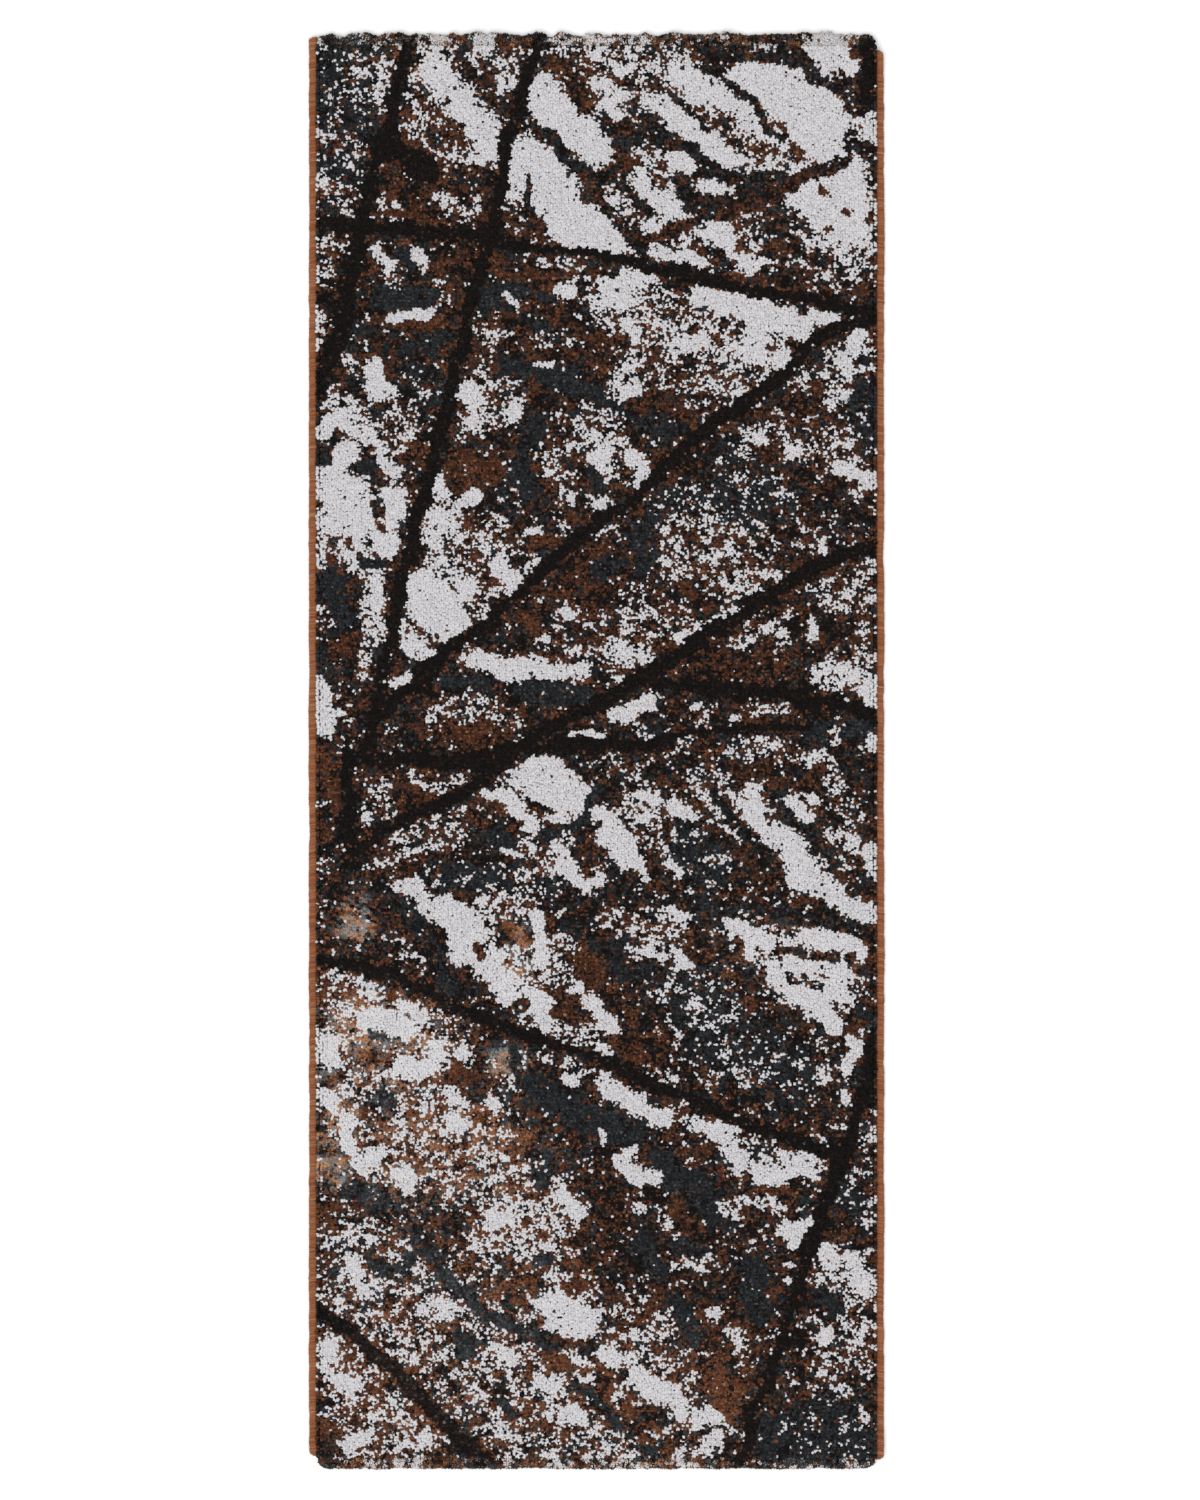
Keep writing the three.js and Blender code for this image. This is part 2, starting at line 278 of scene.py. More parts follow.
# The drawing of the pattern, laid down in this order. Each stroke is its half width, then the x and y of each
# point that it runs through, in millimetres.
DRAWING: list[tuple[Tint, list[tuple[float, ...]]]] = [
    # The far end.
    (Tint.FROST, [(42, -352, 1000, -352, 770)]),
    (Tint.MIXED, [(14, -385, 850, -325, 838), (12, -385, 790, -325, 768), (10, -345, 760, -343, 752)]),
    (Tint.PEPPER, [(13, -300, 965, -298, 905)]),
    (Tint.MIXED, [(14, -335, 960, -330, 950), (14, -300, 985, -275, 965)]),
    (Tint.UMBER, [(30, -270, 870, -250, 800)]),
    (Tint.BLACK, [(26, -290, 850, -255, 825, -235, 805)]),
    (Tint.BROWN, [(9, -268, 918, -266, 905), (7, -262, 850, -245, 852)]),
    (Tint.PEPPER, [(46, -205, 970, -200, 900, -175, 840)]),
    (Tint.MIXED, [(30, -255, 900, -225, 865, -195, 848)]),
    (Tint.CREAM, [(15, -185, 895, -152, 862, -148, 835), (12, -232, 960, -212, 930),
        (9, -127, 955, -124, 925), (8, -170, 990, -150, 985)]),
    (Tint.DARK, [(7, -180, 945, -160, 930, -150, 915), (7, -192, 968, -180, 955),
        (8, -205, 1000, -178, 985), (14, -195, 800, -140, 800), (8, -150, 890, -140, 905)]),
    (Tint.UMBER, [(26, -280, 770, -220, 750), (20, -200, 760, -160, 740)]),
    (Tint.PEPPER, [(9, -220, 770, -185, 745), (11, -290, 762, -278, 748), (6, -165, 768, -170, 745),
        (5, -190, 735, -165, 722)]),
    (Tint.BROWN, [(8, -300, 750, -240, 748)]),
    (Tint.PEPPER, [(20, -40, 990, 60, 975), (14, -130, 960, -120, 940)]),
    (Tint.SLATE, [(14, -75, 988, -85, 965)]),
    (Tint.MIXED, [(40, -70, 940, 0, 920, 60, 880), (24, 40, 930, 60, 850)]),
    (Tint.UMBER, [(16, -60, 955, -25, 930, -20, 900), (12, 20, 885, 40, 860)]),
    (Tint.STORM, [(14, 15, 860, 45, 835, 60, 860), (10, 50, 935, 62, 895),
        (14, 75, 960, 95, 985, 118, 965)]),
    (Tint.CREAM, [(9, 2, 930, 32, 914), (8, 65, 905, 75, 900), (7, 10, 900, 28, 885), (6, 30, 945, 45, 950),
        (21, -75, 912, -58, 885, -25, 860, 0, 835), (24, -95, 825, -75, 815), (14, -115, 800, -95, 790)]),
    (Tint.PEPPER, [(16, -125, 770, -112, 745), (16, 20, 775, 55, 745)]),
    (Tint.CREAM, [(26, -60, 785, -42, 742, -15, 722), (16, 10, 715, 25, 706)]),
    (Tint.PEPPER, [(48, 110, 930, 190, 880), (60, 180, 850, 260, 850), (50, 330, 770, 330, 700),
        (40, 90, 790, 130, 740)]),
    (Tint.CREAM, [(14, 232, 962, 252, 945), (25, 215, 935, 262, 915, 310, 890, 330, 855),
        (26, 300, 925, 300, 870), (12, 110, 945, 132, 935, 152, 915, 190, 897),
        (13, 100, 895, 125, 870, 150, 850, 183, 826), (9, 202, 885, 217, 865, 238, 850),
        (14, 262, 880, 300, 842), (26, 345, 800, 350, 735), (20, 275, 790, 320, 745),
        (9, 110, 825, 128, 812), (8, 152, 790, 185, 782), (8, 60, 790, 85, 768, 112, 745, 128, 738),
        (8, 68, 726, 86, 720), (12, 160, 728, 178, 712, 192, 692, 216, 676),
        (7, 76, 702, 112, 692, 146, 682), (16, 332, 985, 348, 960, 312, 975)]),
    (Tint.BROWN, [(7, 270, 842, 285, 832), (5, 255, 872, 262, 866), (7, 312, 786, 316, 780),
        (5, 345, 752, 348, 748), (5, 318, 728, 326, 726), (6, 378, 745, 380, 738),
        (8, 355, 980, 358, 970)]),
    (Tint.MIXED, [(12, 155, 893, 186, 868), (12, 190, 845, 235, 835), (16, 210, 740, 215, 705),
        (14, 280, 735, 250, 755)]),
    (Tint.STORM, [(7, -95, 870, -70, 862, -55, 850, -45, 836), (5, -92, 797, -95, 762),
        (7, -60, 850, -45, 825, -28, 810, 0, 800, 26, 791, 42, 778, 60, 764, 76, 748),
        (6, 2, 798, 6, 762, 26, 735, 46, 712, 62, 704),
        (5, 84, 925, 112, 905, 128, 894, 142, 880, 152, 864),
        (11, 50, 900, 76, 870, 100, 850, 130, 835, 150, 816, 182, 797, 225, 790),
        (6, 150, 950, 176, 935, 196, 915, 216, 900, 232, 875, 242, 860, 262, 857),
        (9, 150, 806, 200, 803, 262, 798), (14, 122, 792, 132, 762, 160, 757),
        (9, 140, 986, 160, 970, 200, 965, 240, 968, 266, 976), (9, 262, 960, 292, 954, 312, 935, 342, 917),
        (12, 300, 940, 335, 920), (8, 355, 858, 352, 832)]),
    (Tint.DARK, [(12, 250, 722, 282, 700, 302, 690, 338, 668), (10, 230, 748, 268, 726),
        (14, -130, 742, -70, 712), (5, 170, 692, 174, 684)]),
    (Tint.CREAM, [(9, 374, 882, 382, 852)]),
    (Tint.UMBER, [(10, 75, 706, 112, 730, 152, 745, 200, 755, 242, 774, 282, 795, 312, 808, 346, 818)]),
    (Tint.BLACK, [(13, 375, 1000, 375, 930, 370, 892)]),
    (Tint.PEPPER, [(15, -378, 702, -382, 668)]),
    (Tint.DARK, [(30, -290, 690, -220, 700)]),
    (Tint.SLATE, [(9, -310, 726, -292, 720), (14, -272, 690, -262, 680)]),
    (Tint.CREAM, [(8, -302, 690, -290, 676), (7, -250, 690, -240, 678)]),
    (Tint.UMBER, [(16, -200, 690, -150, 682)]),
    (Tint.BROWN, [(14, -135, 680, -120, 660)]),
    (Tint.PEPPER, [(7, -80, 680, -60, 676, -20, 674)]),
    # From the far end towards the middle.
    (Tint.SLATE, [(24, -290, 630, -240, 628), (16, -330, 588, -340, 575), (18, -260, 560, -220, 575)]),
    (Tint.BROWN, [(12, -300, 602, -220, 597), (10, -290, 545, -285, 520)]),
    (Tint.FROST, [(10, -345, 575, -318, 568)]),
    (Tint.CREAM, [(5, -290, 603, -275, 607, -240, 607, -228, 613), (7, -390, 615, -388, 570)]),
    (Tint.MIXED, [(4, -232, 656, -214, 650, -200, 634), (8, -286, 656, -278, 650)]),
    (Tint.DARK, [(20, -240, 530, -240, 500)]),
    (Tint.FROST, [(20, -245, 520, -235, 490)]),
    (Tint.CREAM, [(13, -308, 532, -305, 500), (9, -300, 514, -288, 500), (10, -347, 470, -336, 456),
        (13, -345, 460, -320, 444), (14, -347, 416, -345, 405), (7, -372, 460, -380, 440),
        (6, -312, 432, -306, 428), (8, -300, 418, -296, 408), (8, -288, 402, -282, 390)]),
    (Tint.PEPPER, [(9, -330, 522, -330, 512), (10, -365, 502, -375, 488), (14, -335, 482, -300, 440),
        (8, -345, 545, -342, 535), (16, -365, 380, -330, 385)]),
    (Tint.SLATE, [(10, -340, 522, -335, 506), (12, -303, 474, -290, 466), (12, -375, 402, -385, 414),
        (9, -338, 392, -312, 396)]),
    (Tint.MIXED, [(18, -275, 465, -265, 430), (12, -300, 440, -285, 420)]),
    (Tint.BROWN, [(12, -255, 425, -250, 402)]),
    (Tint.PEPPER, [(18, -300, 360, -275, 352)]),
    (Tint.CREAM, [(22, -375, 370, -352, 350, -332, 330), (8, -292, 362, -272, 360),
        (10, -285, 345, -275, 335)]),
    (Tint.DARK, [(7, -305, 342, -298, 338), (6, -382, 336, -376, 332)]),
    (Tint.SLATE, [(22, -150, 630, -70, 642)]),
    (Tint.UMBER, [(16, -95, 620, -60, 608), (20, -60, 655, -90, 660)]),
    (Tint.CREAM, [(4, -125, 636, -112, 620), (8, -50, 640, -30, 637)]),
    (Tint.PEPPER, [(7, -165, 592, -150, 582, -130, 582)]),
    (Tint.MIXED, [(12, -160, 582, -122, 572, -100, 565)]),
    (Tint.UMBER, [(30, -100, 560, -20, 560, -10, 590)]),
    (Tint.SALTED, [(12, -70, 576, -40, 575)]),
    (Tint.SLATE, [(9, -70, 592, -86, 585), (21, -120, 540, -60, 525, 0, 500, 50, 477, 98, 448)]),
    (Tint.CREAM, [(3, -85, 540, -60, 542)]),
    (Tint.PEPPER, [(9, -165, 530, -160, 516), (16, -170, 460, -130, 500)]),
    (Tint.CREAM, [(14, -180, 502, -160, 485, -122, 480), (9, -115, 482, -118, 466)]),
    (Tint.MIXED, [(18, -150, 462, -135, 500), (10, -20, 482, 0, 466), (16, -45, 480, -20, 470)]),
    (Tint.UMBER, [(18, -82, 500, -62, 482)]),
    (Tint.SLATE, [(16, -100, 450, -80, 445)]),
    (Tint.SALTED, [(14, -60, 480, -40, 478), (12, -165, 425, -150, 420), (10, -190, 440, -185, 432)]),
    (Tint.PEPPER, [(34, 20, 625, 90, 603, 165, 592, 235, 578), (28, 110, 562, 190, 548, 240, 548),
        (24, 60, 530, 40, 512)]),
    (Tint.MIXED, [(26, 100, 530, 180, 515), (14, 150, 480, 168, 463), (8, 110, 486, 150, 480, 170, 464),
        (20, 60, 560, 120, 590)]),
    (Tint.CREAM, [(9, 12, 646, 42, 656, 72, 660), (9, 16, 636, 36, 624),
        (13, 140, 638, 170, 628, 214, 615, 250, 600, 288, 586), (10, 300, 605, 328, 602),
        (11, 222, 600, 222, 552), (10, 252, 546, 270, 540), (10, 120, 570, 136, 565), (8, 50, 507, 40, 498),
        (7, 45, 590, 50, 575)]),
    (Tint.UMBER, [(20, -15, 572, 10, 556, -8, 530), (14, 60, 482, 100, 490)]),
    (Tint.PEPPER, [(18, 380, 540, 340, 542, 325, 526), (14, 215, 446, 240, 440),
        (16, 270, 426, 310, 420, 352, 400), (12, 325, 486, 345, 496)]),
    (Tint.CREAM, [(9, 368, 577, 356, 562), (10, 345, 396, 385, 376), (6, 206, 440, 230, 437),
        (9, 345, 540, 350, 525)]),
    (Tint.SLATE, [(6, 375, 546, 380, 540), (6, 360, 516, 366, 510)]),
    (Tint.MIXED, [(14, 285, 516, 276, 505), (20, 250, 452, 300, 440, 350, 430), (12, 362, 362, 350, 355)]),
    (Tint.FROST, [(20, 370, 492, 385, 442)]),
    (Tint.UMBER, [(22, 268, 482, 285, 470)]),
    (Tint.FROST, [(34, 180, 415, 190, 370, 232, 350)]),
    (Tint.STORM, [(26, 160, 430, 150, 400)]),
    (Tint.PEPPER, [(24, -20, 436, 10, 420, 20, 446), (12, -56, 396, -40, 388)]),
    (Tint.MIXED, [(18, -62, 392, -42, 386, -60, 416), (14, 20, 376, 0, 360), (14, -60, 430, -40, 440)]),
    (Tint.CREAM, [(11, 45, 410, 60, 398, 66, 370), (9, 15, 415, 10, 400), (6, -36, 358, -34, 350),
        (7, 5, 346, 8, 338)]),
    (Tint.SLATE, [(11, 0, 378, 4, 368)]),
    (Tint.SALTED, [(9, 110, 370, 140, 368)]),
    (Tint.UMBER, [(16, 110, 412, 135, 440, 140, 400), (14, 80, 400, 100, 380)]),
    (Tint.BROWN, [(24, -190, 400, -150, 386, -170, 366)]),
    (Tint.FROST, [(22, -110, 382, -120, 352)]),
    (Tint.SLATE, [(14, -100, 388, -92, 360)]),
    (Tint.PEPPER, [(14, -212, 332, -190, 336)]),
    (Tint.CREAM, [(8, -215, 376, -215, 356), (8, -168, 356, -176, 350)]),
    (Tint.FROST, [(26, 90, 335, 180, 330, 260, 335)]),
    # Just past the middle, on the far side.
    (Tint.PEPPER, [(20, -365, 290, -330, 268), (16, -310, 236, -312, 200, -310, 172),
        (18, -385, 300, -375, 260)]),
    (Tint.CREAM, [(16, -370, 322, -342, 326, -340, 292), (13, -290, 312, -290, 290),
        (8, -300, 255, -310, 260), (7, -308, 228, -306, 200)]),
    (Tint.BROWN, [(6, -345, 292, -342, 286), (6, -370, 272, -366, 264), (5, -300, 318, -296, 312)]),
    (Tint.SLATE, [(7, -325, 266, -295, 262), (18, -370, 236, -352, 196, -360, 166),
        (12, -385, 240, -375, 225)]),
    (Tint.PEPPER, [(6, -382, 192, -380, 184), (6, -368, 182, -364, 172)]),
    (Tint.UMBER, [(22, -350, 150, -350, 110), (14, -325, 90, -335, 60)]),
    (Tint.SLATE, [(12, -385, 140, -376, 112), (9, -365, 110, -362, 90)]),
    (Tint.SALTED, [(16, -350, 110, -345, 80)]),
    (Tint.PEPPER, [(6, -322, 132, -320, 104)]),
    (Tint.CREAM, [(10, -388, 95, -383, 60, -378, 30), (8, -368, 45, -362, 55)]),
    (Tint.PEPPER, [(26, -225, 325, -212, 300, -182, 290, -142, 286), (20, -205, 266, -190, 255),
        (20, -160, 225, -140, 240), (14, -190, 196, -166, 200, -180, 176)]),
    (Tint.MIXED, [(18, -140, 312, -120, 292), (14, -175, 250, -160, 255)]),
    (Tint.CREAM, [(24, -235, 226, -226, 192, -212, 180), (16, -205, 216, -190, 226),
        (11, -132, 262, -110, 238, -116, 220), (12, -265, 166, -250, 142, -240, 130),
        (10, -246, 240, -232, 236), (8, -225, 330, -215, 320), (6, -280, 94, -266, 100)]),
    (Tint.BROWN, [(5, -222, 162, -220, 156), (4, -262, 172, -260, 168), (5, -200, 232, -196, 226)]),
    (Tint.SLATE, [(8, -262, 122, -245, 118)]),
    (Tint.UMBER, [(36, -20, 270, 20, 236, -30, 230), (22, -75, 300, -60, 282)]),
    (Tint.SLATE, [(20, 60, 312, 70, 272, 62, 240), (16, 20, 262, 0, 250)]),
    (Tint.SALTED, [(12, -50, 305, -40, 300), (16, -20, 300, 0, 310)]),
    (Tint.CREAM, [(4, -95, 308, -75, 309), (5, 112, 312, 116, 306), (6, 96, 250, 112, 255)]),
    (Tint.PEPPER, [(10, -85, 262, -72, 250)]),
    (Tint.MIXED, [(24, 110, 310, 112, 262), (38, 160, 290, 205, 262), (22, 190, 212, 205, 200)]),
    (Tint.PEPPER, [(16, 170, 236, 230, 226), (16, 200, 224, 240, 242)]),
    (Tint.SALTED, [(28, 240, 292, 300, 300), (18, 80, 222, 50, 212)]),
    (Tint.MIXED, [(28, 0, 176, 50, 166, 22, 132), (22, -40, 190, -30, 162),
        (18, 80, 200, 130, 182, 140, 166)]),
    (Tint.PEPPER, [(12, 20, 150, 36, 135, 76, 130), (8, -50, 196, -28, 190),
        (7, 110, 140, 150, 170, 210, 206), (7, 20, 112, 30, 100), (12, -182, 142, -170, 128),
        (8, -40, 100, -20, 102)]),
    (Tint.CREAM, [(6, 30, 142, 40, 134), (5, -80, 158, -68, 155), (5, 112, 152, 120, 158),
        (12, -168, 130, -150, 125, -126, 116, -110, 110), (9, -100, 120, -62, 110, -40, 112, -20, 118),
        (5, -45, 196, -35, 192)]),
    (Tint.BROWN, [(14, -100, 182, -84, 170)]),
    (Tint.SLATE, [(12, -210, 98, -152, 92), (18, -100, 80, -50, 76, -18, 70), (7, -130, 160, -125, 150),
        (8, -40, 170, -35, 160)]),
    (Tint.UMBER, [(34, -230, 45, -150, 42, -110, 46)]),
    (Tint.MIXED, [(14, -200, 62, -170, 72), (10, -225, 60, -230, 30), (9, -100, 46, -100, 26),
        (20, -170, 48, -120, 50)]),
    (Tint.BROWN, [(14, -150, 30, -190, 22)]),
    (Tint.UMBER, [(22, 100, 130, 180, 125, 250, 130), (20, 120, 90, 220, 95), (24, 310, 60, 200, 40)]),
    (Tint.PEPPER, [(16, 330, 122, 356, 110, 380, 92), (14, 310, 106, 350, 86)]),
    (Tint.CREAM, [(9, 340, 118, 352, 108), (9, 383, 92, 386, 70)]),
    (Tint.MIXED, [(22, 330, 222, 370, 212, 385, 172), (18, 370, 132, 385, 125)]),
    (Tint.PEPPER, [(6, 345, 206, 348, 200), (10, 380, 262, 370, 242), (9, 265, 190, 256, 150),
        (7, 195, 150, 220, 158, 236, 172, 250, 180)]),
    (Tint.BLACK, [(12, 270, 176, 276, 170), (13, 320, 172, 328, 166)]),
    (Tint.CREAM, [(6, 300, 182, 300, 160), (4, 312, 288, 314, 278)]),
    (Tint.SALTED, [(12, 370, 292, 340, 290), (16, 90, 36, 70, 34), (14, 100, 0, 110, 10),
        (16, 200, 10, 250, 2, 300, 8)]),
    (Tint.MIXED, [(10, 190, 0, 230, 6, 292, -6, 322, -10)]),
    (Tint.SLATE, [(18, 372, 30, 300, 24)]),
    (Tint.PEPPER, [(6, 330, 26, 336, 6)]),
    (Tint.CREAM, [(7, 383, 12, 388, 6)]),
    # Just past the middle, on the near side.
    (Tint.BROWN, [(18, -375, -10, -370, -60, -385, -110)]),
    (Tint.SALTED, [(6, -385, -70, -376, -92)]),
    (Tint.UMBER, [(30, -290, -60, -220, -50)]),
    (Tint.BLACK, [(14, -345, -5, -342, -60, -352, -110, -332, -128),
        (10, -325, -12, -250, -15, -150, -20)]),
    (Tint.MIXED, [(16, -302, -50, -290, -86), (9, -320, -92, -302, -96)]),
    (Tint.PEPPER, [(5, -306, -56, -290, -48), (7, -256, -38, -236, -46, -218, -50, -200, -40, -185, -33),
        (8, -188, -82, -200, -80), (8, -205, -128, -246, -138, -282, -149, -315, -163),
        (5, -230, -92, -222, -90)]),
    (Tint.MIXED, [(12, -270, -120, -240, -110, -192, -112)]),
    (Tint.UMBER, [(14, -225, -150, -260, -162)]),
    (Tint.MIXED, [(8, -386, -160, -386, -280), (8, -372, -150, -366, -160)]),
    (Tint.STORM, [(17, -335, -176, -302, -190, -272, -210, -250, -242, -232, -270, -215, -300, -202, -332)]),
    (Tint.SALTED, [(9, -285, -262, -280, -256)]),
    (Tint.CREAM, [(4, -252, -284, -240, -291), (9, -268, -184, -246, -182, -228, -172)]),
    (Tint.FROST, [(20, -230, -170, -140, -175, -62, -186)]),
    (Tint.SLATE, [(15, -142, -118, -122, -132), (10, -210, -160, -190, -165)]),
    (Tint.CREAM, [(2.5, -130, -140, -100, -145)]),
    (Tint.PEPPER, [(16, -132, -60, -110, -72, -95, -92), (14, -115, -38, -60, -20)]),
    (Tint.CREAM, [(22, -74, -32, -52, -52, -32, -62), (15, -90, -36, -72, -60, -36, -76),
        (9, -26, -80, -20, -68), (9, -137, -58, -118, -66), (8, -105, -84, -92, -104),
        (6, -62, -92, -42, -96), (6, -155, -58, -145, -62)]),
    (Tint.DARK, [(6, -86, -76, -62, -82), (6, -114, -96, -108, -100)]),
    (Tint.BROWN, [(4, -38, -84, -36, -95)]),
    (Tint.SLATE, [(8, -2, -52, -10, -80, -26, -100, -60, -115, -86, -121)]),
    (Tint.PEPPER, [(12, -46, -130, -50, -150, -62, -165)]),
    (Tint.CREAM, [(9, -46, -158, -30, -170, -14, -186, 4, -180)]),
    (Tint.MIXED, [(12, -70, -142, -90, -130), (16, -85, -166, -100, -180)]),
    (Tint.MIXED, [(30, 40, -80, 90, -75), (12, 60, -30, 76, -44)]),
    (Tint.SALTED, [(14, 20, -20, 40, -42)]),
    (Tint.CREAM, [(9, 5, -82, 20, -100, 10, -120), (14, 26, -116, 46, -135, 40, -146),
        (7, 60, -156, 65, -175), (7, 106, -74, 130, -92), (7, 104, -158, 112, -168),
        (6, 60, -62, 84, -66)]),
    (Tint.MIXED, [(12, 62, -82, 82, -92), (12, 70, -112, 90, -130)]),
    (Tint.STORM, [(10, 92, -15, 112, -46), (12, 0, -55, 25, -65)]),
    (Tint.FROST, [(28, 130, -122, 160, -160, 140, -190)]),
    (Tint.UMBER, [(14, 60, -200, 30, -190)]),
    (Tint.PEPPER, [(26, 215, -70, 250, -110, 290, -160), (20, 330, -190, 300, -175),
        (7, 135, -46, 150, -60, 165, -85, 192, -110, 202, -122), (8, 182, -50, 202, -56)]),
    (Tint.CREAM, [(12, 214, -70, 226, -96), (11, 246, -112, 264, -122), (15, 275, -155, 286, -176),
        (13, 350, -216, 376, -226), (9, 268, -65, 286, -80, 292, -92), (6, 300, -62, 306, -68),
        (9, 382, -138, 387, -158), (9, 312, -182, 335, -205)]),
    (Tint.PEPPER, [(8, 350, -60, 366, -86, 346, -110, 356, -126), (10, 330, -116, 346, -126, 340, -142)]),
    (Tint.STORM, [(8, 245, -58, 265, -90, 292, -110, 312, -132, 328, -142),
        (8, 170, -68, 196, -100, 216, -120, 236, -136, 252, -152), (9, 352, -150, 366, -180, 388, -190),
        (14, 380, -42, 350, -30)]),
    (Tint.MIXED, [(14, 330, -46, 340, -70), (10, 340, -172, 345, -165), (12, 150, -25, 170, -35)]),
    (Tint.PEPPER, [(10, 300, -12, 316, -5, 326, -16), (5, 200, -16, 214, -10)]),
    (Tint.PEPPER, [(22, 200, -255, 235, -262), (34, 300, -275, 340, -290), (26, 290, -330, 340, -335)]),
    (Tint.CREAM, [(11, 190, -245, 216, -255, 236, -263), (7, 206, -270, 216, -286),
        (11, 295, -266, 330, -260, 346, -270), (8, 355, -262, 370, -286),
        (9, 265, -295, 300, -300, 346, -306), (10, 246, -300, 256, -322), (12, 266, -336, 300, -346),
        (10, 320, -322, 346, -340)]),
    (Tint.DARK, [(6, 195, -262, 200, -276), (8, 300, -282, 330, -286), (7, 280, -322, 310, -326),
        (8, 352, -290, 370, -300), (6, 270, -276, 288, -288)]),
    (Tint.MIXED, [(14, 20, -236, 60, -236), (8, 0, -220, 20, -230), (22, 100, -250, 60, -270)]),
    (Tint.PEPPER, [(7, 60, -210, 90, -216), (6, 50, -242, 76, -260, 90, -250)]),
    (Tint.CREAM, [(8, 104, -216, 116, -226, 126, -218), (5, 70, -275, 86, -286, 96, -284),
        (6, 105, -275, 120, -286, 131, -297)]),
    (Tint.STORM, [(20, -12, -258, 20, -286, -20, -250), (22, 155, -275, 172, -298)]),
    (Tint.SLATE, [(12, 20, -302, 50, -311, 72, -305)]),
    (Tint.UMBER, [(18, 12, -320, 22, -336, -20, -330)]),
    (Tint.SALTED, [(20, 80, -330, 130, -320, 160, -336), (8, -60, -215, -50, -222)]),
    (Tint.PEPPER, [(22, -150, -215, -120, -222, -100, -216), (18, -110, -286, -92, -300),
        (10, -60, -276, -44, -262, -30, -276), (10, -50, -310, -30, -326)]),
    (Tint.MIXED, [(20, -100, -292, -86, -330, -62, -300)]),
    (Tint.CREAM, [(12, -236, -210, -214, -226, -195, -240), (17, -214, -216, -190, -236, -166, -250),
        (12, -190, -265, -185, -281), (8, -86, -226, -80, -270, -76, -290),
        (16, -146, -290, -132, -316, -126, -330), (7, -32, -324, -26, -330), (9, -165, -285, -160, -300)]),
    (Tint.BROWN, [(7, -170, -270, -166, -285), (11, -120, -246, -105, -256), (16, -20, -290, 0, -310)]),
    (Tint.PEPPER, [(18, -366, -320, -330, -326, -312, -340)]),
    (Tint.DARK, [(14, -290, -300, -242, -320)]),
    (Tint.SLATE, [(12, -216, -320, -205, -336)]),
    # From the middle towards the near end.
    (Tint.SAND, [(26, -375, -345, -345, -350, -330, -365), (22, -372, -410, -350, -420),
        (14, -375, -480, -365, -496), (26, -270, -450, -240, -440)]),
    (Tint.PEPPER, [(12, -340, -465, -330, -476)]),
    (Tint.MIXED, [(36, -240, -400, -208, -412), (30, -300, -440, -330, -440),
        (24, -250, -482, -200, -476)]),
    (Tint.CREAM, [(13, -315, -370, -290, -375, -270, -386), (10, -270, -355, -250, -366),
        (12, -375, -405, -370, -430), (9, -276, -440, -240, -440), (9, -220, -415, -225, -430),
        (7, -186, -412, -184, -420), (9, -206, -475, -190, -486), (9, -146, -480, -140, -490),
        (10, -378, -478, -368, -492)]),
    (Tint.SLATE, [(7, -310, -390, -295, -400), (12, -302, -478, -282, -498)]),
    (Tint.UMBER, [(14, -325, -420, -298, -430)]),
    (Tint.BROWN, [(14, -200, -446, -186, -460), (10, -110, -486, -92, -496)]),
    (Tint.MIXED, [(14, -130, -470, -115, -465)]),
    (Tint.SLATE, [(13, -136, -404, -114, -416), (26, -85, -466, -45, -490, 10, -516, 50, -526),
        (20, 85, -565, 110, -590, 145, -608, 160, -640)]),
    (Tint.SAND, [(16, -100, -365, -85, -385)]),
    (Tint.PEPPER, [(5, -80, -420, -64, -430)]),
    (Tint.CREAM, [(6, -45, -455, -30, -460), (12, -75, -350, -72, -380), (8, -12, -345, 8, -368, 20, -386),
        (7, 5, -410, 15, -420)]),
    (Tint.MIXED, [(12, -40, -436, -15, -442)]),
    (Tint.BROWN, [(14, -50, -360, -30, -370)]),
    (Tint.PEPPER, [(12, -55, -386, -30, -396, -8, -390), (8, 40, -380, 30, -396)]),
    (Tint.UMBER, [(24, 60, -380, 92, -402, 40, -412)]),
    (Tint.FROST, [(50, 150, -380, 200, -420, 260, -450)]),
    (Tint.DARK, [(24, 200, -470, 230, -480)]),
    (Tint.PEPPER, [(6, 165, -385, 176, -396), (7, 195, -440, 205, -460), (5, 108, -404, 114, -410),
        (6, 70, -440, 86, -450, 112, -460), (6, 128, -350, 140, -356)]),
    (Tint.CREAM, [(10, 290, -340, 310, -362, 336, -383), (7, 352, -400, 366, -406, 355, -430, 350, -440),
        (6, 312, -446, 318, -452), (5, 345, -475, 348, -490)]),
    (Tint.SLATE, [(12, 366, -360, 380, -370)]),
    (Tint.PEPPER, [(15, 15, -460, 40, -480, 70, -500, 96, -506), (13, 120, -505, 150, -520, 186, -530),
        (22, 210, -556, 245, -576, 272, -562, 292, -562)]),
    (Tint.CREAM, [(9, 20, -466, 45, -484, 75, -503, 92, -512), (10, 146, -520, 176, -530),
        (11, 230, -590, 250, -590, 276, -580, 296, -566), (7, 290, -545, 310, -560),
        (7, 180, -552, 200, -565, 196, -582)]),
    (Tint.MIXED, [(12, 200, -540, 240, -546)]),
    (Tint.BROWN, [(7, 220, -610, 270, -615)]),
    (Tint.PEPPER, [(9, 205, -625, 235, -626, 250, -640), (8, 180, -636, 200, -650, 216, -645)]),
    (Tint.CREAM, [(11, 265, -665, 276, -672, 290, -655)]),
    (Tint.SLATE, [(10, 285, -625, 290, -640)]),
    (Tint.SALTED, [(12, 350, -520, 385, -530)]),
    (Tint.MIXED, [(11, 370, -542, 382, -522)]),
    (Tint.FROST, [(20, 370, -640, 352, -622)]),
